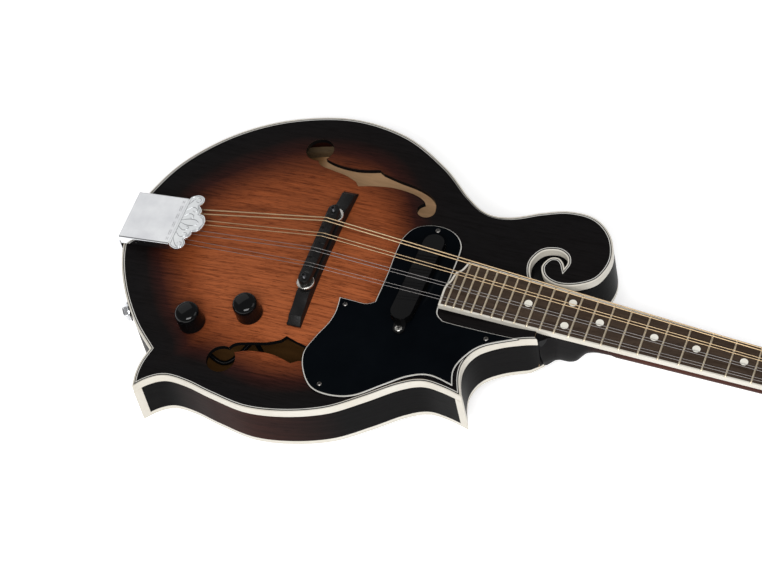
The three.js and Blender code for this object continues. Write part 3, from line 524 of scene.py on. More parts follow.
def make_dark_wood(name, dark, light, roughness=(0.5, 0.36), across=(14, 700, 14), contrast=0.8):
    """Stained wood. The shade attribute moves it from dark to light."""
    p = Paint(name, specular=0.03)
    rings, pores = lines_of_grain(p, across)
    base = p.mix(p.shade(), dark, light)
    tint = p.ramp(rings, [(0.3, (0.55, 0.5, 0.48)), (0.55, (1, 1, 1)), (0.75, (1.5, 1.35, 1.25))])
    pore_tint = p.ramp(pores, [(0.32, (0.45, 0.42, 0.4)), (0.45, (1, 1, 1))])
    p.colour(p.mix(contrast, p.mix(contrast, base, tint, "MULTIPLY"), pore_tint, "MULTIPLY"))
    p.rough(pores, *roughness)
    p.bump(pores, 0.00010, 0.5)
    return p.material


def make_plain_wood(name, base, roughness=(0.75, 0.6), across=(14, 700, 14), specular=0.3,
                    contrast=0.7):
    p = Paint(name, specular=specular)
    rings, pores = lines_of_grain(p, across)
    tint = p.ramp(rings, [(0.3, (0.62, 0.56, 0.5)), (0.55, (1, 1, 1)), (0.75, (1.25, 1.2, 1.1))])
    pore_tint = p.ramp(pores, [(0.34, (0.42, 0.38, 0.35)), (0.46, (1, 1, 1))])
    p.colour(p.mix(contrast, p.mix(contrast, base, tint, "MULTIPLY"), pore_tint, "MULTIPLY"))
    p.rough(pores, *roughness)
    p.bump(pores, 0.00014, 0.6)
    return p.material


def make_inside_wood(name, base, glow):
    """Bare wood inside the body, with painted light below the bass f-hole, painted shade under the treble
    one, and a painted glow from within.
    """
    p = Paint(name, specular=0.05)
    rings, pores = lines_of_grain(p, (14, 500, 14))
    tint = p.ramp(rings, [(0.3, (0.80, 0.76, 0.70)), (0.7, (1.15, 1.12, 1.06))])
    # Painted shade: the shade attribute darkens the wood where the inside of the body lies in shadow.
    depth = p.ramp(p.shade(), [(0, (0.10, 0.075, 0.042)), (0.5, (0.45, 0.39, 0.32)), (1, (1, 1, 1))])
    colour = p.mix(1.0, p.mix(1.0, base, tint, "MULTIPLY"), depth, "MULTIPLY")
    p.colour(colour)
    # Painted light: the wood gives off its own colour as an emission, though it is no lamp.
    p.link(colour, p.shader.inputs["Emission Color"])
    p.shader.inputs["Emission Strength"].default_value = glow
    p.rough(pores, 0.8, 0.6)
    p.bump(pores, 0.00014, 0.5)
    return p.material


def make_cream(name, base, roughness=(0.34, 0.46)):
    p = Paint(name, specular=0.45)
    cloud = p.noise(30, detail=3)
    grain = p.noise(1, (60, 900, 900), 3)
    tint = p.ramp(cloud, [(0.3, (0.93, 0.90, 0.84)), (0.7, (1.03, 1.02, 1.0))])
    fine = p.ramp(grain, [(0.3, (0.95, 0.94, 0.92)), (0.7, (1, 1, 1))])
    p.colour(p.mix(1.0, p.mix(1.0, base, tint, "MULTIPLY"), fine, "MULTIPLY"))
    p.rough(cloud, *roughness)
    p.bump(grain, 0.00003, 0.4)
    return p.material


def make_plastic(name, base, roughness, specular):
    p = Paint(name, specular=specular)
    haze = p.noise(40, detail=4)
    scuff = p.noise(1, (900, 160, 500), 4, 0.7)
    p.colour(p.mix(0.5, base, p.ramp(haze, [(0.3, base), (0.7, tuple(1.7 * c + 0.001 for c in base))])))
    p.rough(p.math("ADD", p.math("MULTIPLY", haze, 0.6), p.math("MULTIPLY", scuff, 0.4)), *roughness)
    p.bump(scuff, 0.00002, 0.25)
    return p.material


def make_metal(name, base, roughness=(0.08, 0.2), brushed=(160, 160, 160), bump=0.15):
    p = Paint(name, metallic=1.0)
    smear = p.noise(1, brushed, 4, 0.65)
    cloud = p.noise(55, detail=3)
    tint = p.ramp(cloud, [(0.3, (0.86, 0.86, 0.87)), (0.7, (1.04, 1.04, 1.03))])
    p.colour(p.mix(1.0, base, tint, "MULTIPLY"))
    p.rough(p.math("ADD", p.math("MULTIPLY", smear, 0.7), p.math("MULTIPLY", cloud, 0.3)), *roughness)
    p.bump(smear, 0.00002, bump)
    return p.material


SUNBURST = make_sunburst()
PICKUP_BLACK = make_plastic("pickup_black", (0.0022, 0.0022, 0.0024), (0.12, 0.20), specular=0.10)
SIDE_WOOD = make_dark_wood("side_wood", (0.0030, 0.0028, 0.0030), (0.024, 0.0066, 0.0044),
                           across=(45, 45, 22))
BACK_WOOD = make_dark_wood("back_wood", (0.0065, 0.0050, 0.0050), (0.105, 0.026, 0.012))
NECK_WOOD = make_dark_wood("neck_wood", (0.0030, 0.0026, 0.0028), (0.070, 0.018, 0.010))
INNER_WOOD = make_plain_wood("bare_wood", (0.16, 0.11, 0.06))
# The inside of the back, with painted light, painted shade and a painted glow.
INSIDE_BACK = make_inside_wood("inside_back_wood_painted_light", (0.60, 0.385, 0.225), 0.20)
ROSEWOOD = make_plain_wood("rosewood", (0.048, 0.0325, 0.023), (0.60, 0.46), (60, 900, 20), 0.12, 0.9)
EBONY = make_plain_wood("ebony", (0.0062, 0.0058, 0.0058), (0.50, 0.36), (40, 60, 500), 0.2, 0.6)
LACQUER = make_plastic("black_lacquer", (0.003, 0.003, 0.0034), (0.16, 0.28), specular=0.04)
CREAM = make_cream("cream_binding", (0.62, 0.60, 0.555))
WHITE = make_cream("white_ply", (0.56, 0.56, 0.55))
BONE = make_cream("bone", (0.78, 0.72, 0.58), (0.28, 0.4))
PEARL = make_cream("pearl", (0.80, 0.80, 0.76), (0.15, 0.25))
GLOSS = make_plastic("black_plastic", (0.0014, 0.0014, 0.0016), (0.05, 0.10), specular=0.22)
GUARD = make_plastic("guard_plastic", (0.0008, 0.0014, 0.0022), (0.10, 0.18), specular=0.035)
CHROME = make_metal("chrome", (0.80, 0.81, 0.83), (0.05, 0.16))
NICKEL = make_metal("nickel", (0.60, 0.58, 0.54), (0.18, 0.36))
DARK_NICKEL = make_metal("dark_nickel", (0.20, 0.19, 0.18), (0.28, 0.45))
BRONZE = make_metal("wound_bronze", (0.66, 0.49, 0.30), (0.4, 0.55), (900, 300, 300))
FRET_WIRE = make_metal("fret_wire", (0.86, 0.75, 0.57), (0.30, 0.45), (300, 40, 300))
BLACK_STEEL = make_metal("black_steel", (0.045, 0.045, 0.048), (0.3, 0.45))
ENGRAVED = make_metal("engraved_chrome", (0.78, 0.80, 0.81), (0.08, 0.22), (420, 420, 420), 0.6)
RELIEF = make_metal("relief_chrome", (0.52, 0.53, 0.54), (0.22, 0.36))
STEEL = make_metal("plain_steel", (0.34, 0.32, 0.31), (0.45, 0.6), (60, 500, 500))


# ------------------------------------------------------------------ body shell
UPPER_EYE, LOWER_EYE = (-91, 58.8, 6.6), (-185.3, 93.8, 10.3)
OUTER_EDGE = [[(-186, 93), (-177, 86.5), (-165, 83), (-150, 82.6), (-136, 86)],
              [(-131.5, 83.3), (-118, 80), (-104, 77.3), (-93, 73), (-86.5, 66.5), (-84.4, 59)]]
INNER_EDGE = [[(-91, 57), (-94.5, 65.5), (-104, 70.3), (-120, 72), (-134, 70), (-145.5, 66.8)],
              [(-148.5, 70.5), (-158, 74.6), (-170, 77.2), (-181, 81), (-186, 93)]]


def f_hole(side):
    """The stem and the two eyes of one f-hole, as closed loops that overlap."""
    shift = -4.0 if side < 0 else 0.0
    stem = np.vstack([smooth_run(run, 2) for run in OUTER_EDGE + INNER_EDGE])
    loops = [stem] + [circle(*eye, 40) for eye in (UPPER_EYE, LOWER_EYE)]
    return [np.column_stack([loop[:, 0] + shift, loop[:, 1] * side]) for loop in loops]


BURST_EDGE, BURST_WIDTH = 8, 56
# Painted light on the top: the burst is made darker towards the bass side and lighter towards the treble
# side.
BASS_PAINTED_SHADE, TREBLE_PAINTED_LIGHT = 0.26, 0.10
UPPER_START, UPPER_LENGTH, UPPER_DARK = -118, 62, 0.93


def burst_and_painted_light(xy):
    """0 at the dark edge to 1 in the warm middle, with painted shade towards the bass side and painted light
    towards the treble side.
    """
    x, y = xy[:, 0], xy[:, 1]
    value = np.clip((distance_to(xy, OUTLINE) - BURST_EDGE) / BURST_WIDTH, 0, 1)
    # Painted shade towards the bass side, painted light towards the treble side.
    value *= 1 - BASS_PAINTED_SHADE * np.clip(y / 70, 0, 1) + TREBLE_PAINTED_LIGHT * np.clip(-y / 50, 0, 1)
    upper = np.clip((x - UPPER_START) / UPPER_LENGTH, 0, 1)
    return value * (1 - UPPER_DARK * upper * upper * (3 - 2 * upper))


JOINT_EDGE, JOINT_MIDDLE, JOINT_HALF = 14.5, -2.5, 21.9


def open_ring(outer, inner):
    """The band between two insets of the outline, left open where the neck joins."""
    edges = []
    for distance in (outer, inner):
        loop = OUTLINE if distance == 0 else inset(OUTLINE, distance)
        joint = loop[:, 0] > JOINT_EDGE
        joint &= np.abs(loop[:, 1] - JOINT_MIDDLE) < JOINT_HALF - distance
        first = int(np.flatnonzero(joint & ~np.roll(joint, -1))[0])
        loop, joint = np.roll(loop, -first - 1, 0), np.roll(joint, -first - 1)
        edges.append(loop[~joint])
    return np.vstack([edges[0], edges[1][::-1]])


def painted_edge(xy, tri, height, plate_edge):
    """The black paint on the f-holes' walls, a hair's breadth in front of the wood."""
    gap, proud = 0.06, 0.03
    sides = {(int(a), int(b)) for t in tri for a, b in zip(t, np.roll(t, -1))}
    wall, quads = [], []
    for a, b in sorted(sides):
        if (b, a) in sides or distance_to(xy[[a]], plate_edge)[0] < 1:
            continue
        leg = xy[b] - xy[a]
        out = np.array((leg[1], -leg[0])) / np.linalg.norm(leg) * gap
        k = len(wall)
        for i, drop in ((a, -proud), (b, -proud), (b, PLATE), (a, PLATE)):
            wall.append((*(xy[i] + out), height[i] - drop))
        quads.append((k, k + 3, k + 2, k + 1))
    return wall, quads


def build_top():
    plate_edge = inset(OUTLINE, PURFLING[-1])
    xy, tri = triangulate([plate_edge], f_hole(1) + f_hole(-1), 4.5)
    height = arch(xy[:, 0], xy[:, 1])
    verts, faces = slab(xy, tri, height, height - PLATE)
    # The shade values hold the burst together with the painted light and shade across the top.
    piece("soundboard", verts, faces[:len(tri)], BODY, SUNBURST, replaces=["top_plate"],
          values=np.concatenate([burst_and_painted_light(xy)] * 2))
    piece("soundboard_inside", verts, faces[len(tri):], BODY, INNER_WOOD)
    piece("f_hole_painted_edge", *painted_edge(xy, tri, height, plate_edge), BODY, LACQUER)
    piece("edge_binding", *prism(open_ring(0, PURFLING[0]), -TOP_BINDING, 0.04), BODY, CREAM,
          bevel=(0.35, 2), replaces=["top_binding"])
    for name, outer, inner, paint in (("purfling_black", *PURFLING[:2], LACQUER),
                                      ("purfling_white", *PURFLING[1:], WHITE)):
        piece(name, *prism(open_ring(outer, inner), -2.0, 0.04), BODY, paint)


def build_rim_and_back():
    back_top = -RIM_DEPTH + BACK_BINDING
    verts, faces = prism(OUTLINE, back_top, -TOP_BINDING, [inset(OUTLINE, PURFLING[-1])])
    piece("rim", sweep_to_heel(verts), faces, BODY, SIDE_WOOD, values=side_shade(verts),
          replaces=["rim_sides"])
    verts, faces = prism(OUTLINE, -RIM_DEPTH, back_top, [inset(OUTLINE, BACK_LIP)])
    piece("back_edge_binding", sweep_to_heel(verts), faces, BODY, CREAM, bevel=(0.4, 2),
          replaces=["back_binding"])
    xy, tri = triangulate([inset(OUTLINE, BACK_LIP)], (), 5)
    depth = -RIM_DEPTH - arch(xy[:, 0], xy[:, 1], BACK_ARCH)
    verts, faces = slab(xy, tri, depth + PLATE, depth)
    verts = sweep_to_heel(verts)
    row, _ = move((verts, faces), BODY)
    row[:, 2] = np.maximum(row[:, 2], 0)
    values = np.clip((distance_to(verts[:, :2], OUTLINE) - 10) / 60, 0, 1)
    piece("carved_back", row, faces[len(tri):], Matrix.Identity(4), BACK_WOOD, values=values,
          replaces=["back_plate"])
    # Painted light and shade inside the body: lighter below the bass f-hole, darker under the treble f-hole
    # and towards the tail past the bass f-hole's lower eye.
    painted_light_mask = np.clip((verts[:, 1] + 5) / 40, 0, 1) * np.clip((verts[:, 0] + 203) / 12, 0.12, 1)
    piece("back_inside", row, faces[:len(tri)], Matrix.Identity(4), INSIDE_BACK, values=painted_light_mask)


SWEEP_START, SWEEP_LEG = (9.5, -27.6), (14.0, 13.4)


def sweep_to_heel(verts):
    """Cuts the corner of the cutaway's end back to the heel, more and more towards the back."""
    verts = np.array(verts, float)
    leg = np.array(SWEEP_LEG)
    leg /= np.linalg.norm(leg)
    out = np.array((leg[1], -leg[0]))
    past = (verts[:, :2] - SWEEP_START) @ out
    near = (verts[:, 0] > SWEEP_START[0]) & (verts[:, 1] < -10) & (past > 0)
    depth = np.clip((-TOP_BINDING - verts[:, 2]) / (RIM_DEPTH - TOP_BINDING), 0, 1)
    verts[:, :2] -= out * (past * near * depth)[:, None]
    return verts


def build_heel_shoulder():
    """The lacquered shoulder between the end of the cutaway's side and the heel of the neck."""
    top = [(14, -24.9), (18.8, -24.9), (26, -18), (26, -10), (14, -10)]
    crown = [-0.4, -2.2, -4.2, -4.2, -1.0]
    low = [(14, -20.6), (19.3, -19.3), (23.5, -14.2), (26, -10), (14, -10)]
    bottom = -39.3
    rings = []
    for t in np.linspace(0, 1, 9):
        xy = np.array(top) * (1 - t) + np.array(low) * t
        rings.append(np.column_stack([xy, np.array(crown) * (1 - t) + bottom * t]))
    piece("heel_shoulder", *loft(rings), BODY, LACQUER, bevel=(0.5, 2))


def side_shade(verts):
    """Light in the middle of the lower bout's sides, dark towards the points, scroll and neck."""
    x, y = verts[:, 0], verts[:, 1]
    lower = np.clip((-95 - x) / 60, 0, 1)
    point = np.clip((np.hypot(x + 242, y + 118) - 22) / 45, 0, 1)
    return lower * point


def build_point_strips():
    """Cream guards that wrap the rim at the two points."""
    proud, deep, tip_reach = 0.14, 0.9, 1.6
    leg = np.roll(OUTLINE, -1, 0) - OUTLINE
    leg /= np.linalg.norm(leg, axis=1)[:, None]
    out = np.column_stack([leg[:, 1], -leg[:, 0]])
    out = out + np.roll(out, 1, 0)
    out /= np.linalg.norm(out, axis=1)[:, None]
    for name, tip, widths in (("point_strip_lower", (-242, -130), (7.0, 6.0)),
                              ("point_strip_upper", (-17, -82), (6.0, 6.0))):
        k = int(np.hypot(OUTLINE[:, 0] - tip[0], OUTLINE[:, 1] - tip[1]).argmin())
        ends = []
        for step, width in ((-1, widths[0]), (1, widths[1])):
            path, length, i = [], 0.0, k
            while length < width:
                a, b = OUTLINE[i % len(OUTLINE)], OUTLINE[(i + step) % len(OUTLINE)]
                gap = float(np.linalg.norm(b - a))
                t = min(1.0, (width - length) / gap)
                normal = out[i % len(OUTLINE)] * (1 - t) + out[(i + step) % len(OUTLINE)] * t
                path.append((a + (b - a) * t, normal))
                length += gap
                i += step
            ends.append(path)
        run = ends[0][::-1] + [(OUTLINE[k], out[k] * tip_reach)] + ends[1]
        outer = np.array([p + proud * n for p, n in run])
        inner = np.array([p - deep * n for p, n in run])
        strip = anticlockwise(np.vstack([outer, inner[::-1]]))
        low, high = -RIM_DEPTH + BACK_BINDING - 0.15, -TOP_BINDING + 0.15
        piece(name, *prism(strip, low, high), BODY, CREAM, bevel=(0.2, 2))


# ------------------------------------------------------------------ neck, board, head
NUT_HALF, LAST_HALF = 14.4, 20.1


def fret_x(n):
    return -SCALE_LENGTH * (1 - 2 ** (-n / 12))


def board_half(x):
    return NUT_HALF + (LAST_HALF - NUT_HALF) * -x / -fret_x(FRETS)


HEAD_EDGE = [(0, 15.5), (9, 17.5), (20, 22.5), (45, 25), (80, 27), (112, 30), (136, 36), (147, 38.5)]
HEAD_CROWN = [(147, 38.5), (154, 34), (158, 24), (163, 11)]


def head_outline():
    return mirrored(np.vstack([smooth_run(HEAD_EDGE, 3), smooth_run(HEAD_CROWN, 2)[1:]]))


def neck_section(x, half, depth, heel, lean):
    """A D section that deepens into the heel, as points from the bass side round to the treble side."""
    ring = []
    for i in range(41):
        a = math.pi * i / 40
        side = math.copysign(abs(math.cos(a)) ** (0.92 - 0.66 * heel), math.cos(a))
        down = math.sin(a) ** (0.80 - 0.55 * heel)
        width = half * (1 - heel * (0.08 * down + 0.10 * down ** 3))
        z = NECK_TOP - depth * down
        ring.append((x + lean * (NECK_TOP - z), width * side, z))
    return np.array(ring)


def build_neck():
    low_edge = [in_neck(*p) for p in ((18.3, -40.2), (27, -40.2), (34, -40.0), (39.5, -37.3),
                                      (44.5, -31), (49, -25.6), (56, -22.3), (66, -21.6))]
    curve = smooth_run(low_edge, 1.5)
    rings = []
    for x, z in curve:
        heel = float(np.clip((-z - 20) / 20, 0, 1))
        start = float(np.clip((-150 - x) / 28, 0, 1))
        flare = 1 + 0.38 * float(np.clip((curve[0][0] + 9 - x) / 9, 0, 1)) ** 1.4
        rings.append(neck_section(x - 4.2 * start, min(board_half(x), 18.0) * flare, NECK_TOP - z,
                                  heel, math.tan(PITCH) * start))
    first = curve[-1][0]
    for x in np.linspace(first, 4.6, 40)[1:]:
        t = (x - first) / (4.6 - first)
        rings.append(neck_section(x, board_half(x), 15.9 - 2.9 * t ** 0.8, 0, 0))
    verts, faces = loft(rings)
    x_body = move((verts, faces), NECK_IN_BODY)[0][:, 0]
    piece("neck_shaft", verts, faces, NECK, NECK_WOOD, replaces=["neck"],
          values=np.clip((x_body - 48) / 55, 0, 0.75))

    verts, faces = prism(head_outline(), HEAD_BACK, HEAD_BACK + HEAD_THICK, spacing=6)
    piece("headstock_core", verts, faces, HEAD, NECK_WOOD,
          values=np.full(len(verts), 0.35), bevel=(1.6, 3))
    holes = [circle(x, s * POST_Y, 3.5) for x in POST_X for s in (1, -1)]
    piece("headstock_face", *prism(head_outline(), -VENEER - GAP, 0, holes), HEAD, LACQUER,
          bevel=(0.35, 2), replaces=["headstock_veneer"])


def build_volute():
    """The ramp from the shaft to the back of the headstock."""
    rings = []
    for t in np.linspace(0, 1, 14):
        x = -16 + 30 * t
        half = board_half(min(x, 0)) + 1.6 * max(0, t - 0.6)
        ring = neck_section(x, half, 13.2 + 2.2 * math.sin(t * 2.6), 0.25 * t, 0)
        ring[:, 2] -= 3.2 * t * t
        ring[:, 2] = np.minimum(ring[:, 2], NECK_TOP - 0.02 - max(0, x - 4.6) * 0.29)
        rings.append(ring)
    verts, faces = loft(rings)
    piece("neck_volute", verts, faces, NECK, NECK_WOOD, values=np.full(len(verts), 0.6))


def build_board_ramp():
    """The black ramp that carries the board over the top."""
    rings = []
    for x in np.linspace(-252, -178, 30):
        half = board_half(x) - 3.4
        ring = []
        for y in np.linspace(-half, half, 12):
            p = NECK_IN_BODY @ Vector((x, y, NECK_TOP))
            under = NECK_IN_BODY.inverted() @ Vector((p.x, y, float(arch(p.x, y)) - 0.1))
            ring.append((x, y, min(under.z, NECK_TOP - 0.6)))
        ring += [(x, half, NECK_TOP), (x, -half, NECK_TOP)]
        rings.append(np.array(ring))
    verts, faces = loft(rings)
    piece("board_ramp", verts, flip(faces), NECK, LACQUER)


def build_truss_cover():
    bell = mirrored(smooth_run([(6, 4.5), (12, 5.5), (20, 5), (27, 2.5), (30, 0)], 1))
    piece("truss_cover_plate", *prism(bell, 0.02, 1.35), HEAD, GLOSS, bevel=(0.3, 2),
          replaces=["truss_rod_cover"])
    piece("truss_cover_screws", *merge([screw_head(1.5, (9.5, 0, 1.35)), screw_head(1.3, (25.5, 0, 1.35))]),
          HEAD, NICKEL)


def board_outline():
    ogee = smooth_run([(-249.7, 19.4), (-250.9, 15.2), (-252.4, 11.9), (-254.9, 9.4), (-256, 5.5),
                       (-256.6, 1.5), (-258.3, -2.5), (-258.8, -7)], 0.8)
    return anticlockwise(np.vstack([
        [(-GAP, board_half(0)), (-249.4, board_half(-250))], ogee,
        [(-258.2, -board_half(-258)), (-GAP, -board_half(0))]]))


DOTTED_FRETS = (3, 5, 7, 10, 12, 15)
LAST_FRET_END = 8.5


def build_board():
    outline = board_outline()
    inner = inset(outline, 1.5)
    inner[:, 0] = np.where(inner[:, 0] > -3, -GAP, inner[:, 0])
    piece("board_wood", *prism(inner, -BOARD, 0, spacing=9), NECK, ROSEWOOD, replaces=["fretboard"])
    piece("board_binding", *prism(outline, -BOARD - GAP + 0.05, 0.03, [inner]), NECK, CREAM,
          bevel=(0.3, 2), replaces=["fretboard_binding"])


def build_frets():
    parts = []
    for n in range(1, FRETS + 1):
        x = fret_x(n)
        half = board_half(x) - 0.1
        low, high = -half, LAST_FRET_END if n == FRETS else half
        ys = [low, low + 0.35, low + 1.0, *np.linspace(low + 2.5, high - 2.5, 8), high - 1.0,
              high - 0.35, high]
        rings = []
        for y in ys:
            rise = min(1.0, 0.35 + math.sqrt(max(0.0, min(y - low, high - y))) * 0.65)
            ring = [(x - FRET_HALF, y, -0.3)]
            for a in np.linspace(math.pi, 0, 9):
                ring.append((x + FRET_HALF * math.cos(a), y, 0.05 + 0.85 * rise * math.sin(a)))
            ring.append((x + FRET_HALF, y, -0.3))
            rings.append(np.array(ring))
        parts.append(loft(rings))
    piece("fret_wires", *merge(parts), NECK, FRET_WIRE, smooth=60)


def build_dots():
    """The pearl dots in the board, two of them at the octave, and the small ones on its edge."""
    pearl = [(0, -0.3), (2.8, -0.3), (2.8, 0.035), (2.5, 0.06), (0, 0.07)]
    small = lathe([(0, -0.1), (0.8, -0.1), (0.8, 0.06), (0, 0.07)], 16)
    face, side = [], []
    for n in DOTTED_FRETS:
        x = (fret_x(n) + fret_x(n - 1)) / 2
        face += [lathe(pearl, 32, (x, y, 0)) for y in ((-9.6, 9.6) if n == 12 else (0,))]
        side.append(move(small, Matrix.Translation((x, board_half(x), -1.9))
                         @ Matrix.Rotation(-math.pi / 2, 4, "X")))
    piece("position_dots", *merge(face), NECK, PEARL)
    piece("side_dots", *merge(side), NECK, LACQUER)


def build_nut():
    rings = []
    notches = [3.6 * 3 - 7.2 * c + w * 0.95 for c in range(4) for w in (1, -1)]
    for y in np.linspace(-14.4, 14.4, 116):
        cut = max([0.0] + [0.55 - abs(y - n) * 1.1 for n in notches])
        edge = 0.5 * max(0.0, abs(y) - 13.6)
        low, top = NECK_TOP + 0.3, NUT_TOP + 0.35 - edge
        rings.append(np.array([(x, y, z) for x, z in (
            (GAP, low), (GAP, top - 0.2 - cut), (GAP + 0.5, top - cut), (2.6, top - 0.15 - cut),
            (4.1, top - 1.1 - cut), (4.5, top - 1.6), (4.5, low))]))
    piece("string_nut", *loft(rings), NECK, BONE, replaces=["nut"])


# ------------------------------------------------------------------ small hardware
def screw_head(radius, centre=(0, 0, 0)):
    """A domed screw head."""
    profile = [(0, -0.4), (radius, -0.4), (radius, 0.15), (radius * 0.8, 0.5), (radius * 0.45, 0.68),
               (0, 0.72)]
    return lathe(profile, 24, centre)


def slot_cross(radius, centre, turn):
    """The two dark bars of a cross slot, let into a screw head."""
    wide, long = radius * 0.13, radius * 0.62
    box = np.array([(sx * long, sy * wide, z) for z in (0.3, 0.76)
                    for sx, sy in ((-1, -1), (1, -1), (1, 1), (-1, 1))])
    faces = [(3, 2, 1, 0), (4, 5, 6, 7), (0, 1, 5, 4), (1, 2, 6, 5), (2, 3, 7, 6), (3, 0, 4, 7)]
    return merge([move((box, faces), Matrix.Translation(centre) @ Matrix.Rotation(a, 4, "Z"))
                  for a in (turn, turn + math.pi / 2)])


GUARD_RUNS = [
    [(-98, -27), (-103, -30), (-111, -30.2), (-122.9, -30)],
    [(-122.9, -30), (-122, -41), (-123.8, -51), (-129.5, -64), (-133.3, -77), (-129, -90.5),
     (-119, -101.5), (-104, -104), (-88, -100), (-71, -87), (-57, -76.5), (-43, -72), (-25, -76)],
    [(-25, -76), (-28.2, -64), (-25, -52.5), (-15.5, -40), (7, -28.5)],
    [(7, -28.5), (-42, -28.5), (-49.5, -27.3), (-53.6, -23.5), (-54.5, -17)],
    [(-54.5, -17), (-54.5, 24), (-57, 37), (-66, 45), (-79, 46.5), (-91, 41.5), (-97, 31), (-98, 18),
     (-97.3, -5), (-98, -27)],
]
GUARD_SCREWS = ((-76, 42), (-117, -35), (-114, -97.5), (-15, -34.5))
GUARD_TOP = 2.5
PICKUP_AT, PICKUP_TURN, PICKUP_L, PICKUP_W, PICKUP_TOP = (-74.8, -2), math.radians(-3), 74, 15.2, 12.4


def racetrack(length, width, at=(0, 0), turn=0.0, count=16):
    r = width / 2
    a = np.linspace(0, math.pi, count)
    top = np.column_stack([r * np.cos(a), length / 2 - r + r * np.sin(a)])
    loop = np.vstack([top, -top])
    c, s = math.cos(turn), math.sin(turn)
    return loop @ np.array([(c, s), (-s, c)]) + np.array(at)


def build_guard():
    outline = anticlockwise(join_runs([smooth_run(run, 2) for run in GUARD_RUNS]))
    hole = racetrack(PICKUP_L + 0.8, PICKUP_W + 0.8, PICKUP_AT, PICKUP_TURN)
    layers = (("guard_under", 0.0, 0.3, 1.15, GUARD, ["pickguard"]),
              ("guard_white_ply", 0.25, 1.15, 1.75, WHITE, []),
              ("guard_face", 0.95, 1.75, GUARD_TOP, GUARD, []))
    for name, shrink, low, high, paint, stands in layers:
        edge = outline if shrink == 0 else inset(outline, shrink)
        xy, tri = triangulate([edge], [hole], 5)
        height = arch(xy[:, 0], xy[:, 1])
        verts, faces = slab(xy, tri, height + high, height + low)
        piece(name, verts, faces, BODY, paint, bevel=(0.22, 2), replaces=stands)
    screws, slots = [], []
    for i, (x, y) in enumerate(GUARD_SCREWS):
        z = float(arch(x, y)) + GUARD_TOP + 0.05
        screws.append(screw_head(1.7, (x, y, z)))
        slots.append(slot_cross(1.7, (x, y, z), 0.4 + i))
    piece("guard_screws", *merge(screws), BODY, DARK_NICKEL)
    piece("guard_screw_slots", *merge(slots), BODY, LACQUER)


def build_pickup():
    loop = racetrack(PICKUP_L, PICKUP_W, PICKUP_AT, PICKUP_TURN, 20)
    piece("pickup_cover", *prism(loop, 6.0, PICKUP_TOP), BODY, PICKUP_BLACK, bevel=(1.5, 4),
          replaces=["pickup"])
    at = (-75, -43.5)
    z = float(arch(*at)) + GUARD_TOP
    ear = racetrack(12, 8.5, (-75, -41.5), 0.1, 14)
    piece("pickup_ear", *prism(ear, z - 0.6, z + 1.3), BODY, PICKUP_BLACK, bevel=(0.5, 3))
    piece("pickup_screw", *screw_head(2.6, (*at, z + 1.35)), BODY, NICKEL)
    piece("pickup_screw_slot", *slot_cross(2.6, (*at, z + 1.42), 0.5), BODY, LACQUER)


def upright(x, y):
    slope_x = float(arch(x + 1, y) - arch(x - 1, y)) / 2
    slope_y = float(arch(x, y + 1) - arch(x, y - 1)) / 2
    normal = Vector((-slope_x, -slope_y, 1)).normalized()
    turn = Vector((0, 0, 1)).rotation_difference(normal).to_matrix().to_4x4()
    return BODY @ Matrix.Translation((x, y, float(arch(x, y)))) @ turn


def build_knobs():
    skirt = [(0, 12.9), (3.4, 12.9), (3.4, 1.3), (9.35, 1.3), (9.6, 1.6), (9.6, 2.3), (9.45, 2.7),
             (9.25, 8), (9.0, 13.4), (8.75, 14.9), (8.2, 16.2), (7.2, 17.2), (5.6, 17.9), (3, 18.3),
             (0, 18.45)]
    nut = [(3.2, 0.02), (6.2, 0.02), (6.2, 0.7), (3.2, 0.7)]
    for label, (x, y) in KNOBS.items():
        piece(f"{label}_knob_cap", *lathe(skirt, 96), upright(x, y), GLOSS, body=label,
              replaces=[f"{label}_knob"], smooth=35)
        piece(f"{label}_washer", *lathe(nut, 48), upright(x, y), NICKEL)


LEADS = {
    "lead_from_pickup": [(-76, -34, -6), (-92, -62, -24), (-112, -82, -31), (-150, -84, -33),
                         (-181, -60, -22)],
    "lead_to_jack": [(-181, -56, -22), (-198, -78, -30), (-219, -74, -22), (-240, -72, -26),
                     (-264, -62, -22)],
}


def build_leads():
    """The two leads inside the body, from the pickup to the controls and on to the jack."""
    for name, run in LEADS.items():
        piece(name, *tube(smooth_run(run, 3), 1.7, 10), BODY, LACQUER, "black_plastic")


def build_jack():
    place = (BODY @ Matrix.Translation((-276.3, -59.3, -19)) @ Matrix.Rotation(math.radians(212), 4, "Z")
             @ Matrix.Rotation(math.pi / 2, 4, "Y"))
    face = 2.2
    washer = [(5, face - 1.3), (7.1, face - 1.3), (7.4, face - 1.0), (7.4, face - 0.3), (7.1, face),
              (5, face)]
    piece("jack_washer_ring", *lathe(washer, 64), place, CHROME, replaces=["jack_washer"])
    nut = prism(circle(0, 0, 6.5, 6), face + 0.1, face + 2.5, [circle(0, 0, 4.4, 40)])
    piece("jack_nut", *nut, place, CHROME, bevel=(0.5, 3))
    sleeve = [(3.3, -18), (8, -18), (8, -4.4), (4.7, -4.2), (4.7, face + 3.3), (4.3, face + 3.8),
              (3.6, face + 3.8), (3.3, face + 3.4)]
    piece("jack_sleeve", *lathe(sleeve, 64), place, CHROME, replaces=["output_jack"])


# ------------------------------------------------------------------ bridge
CREST_X = (-1.4, 0.7, -1.2, 0.9)


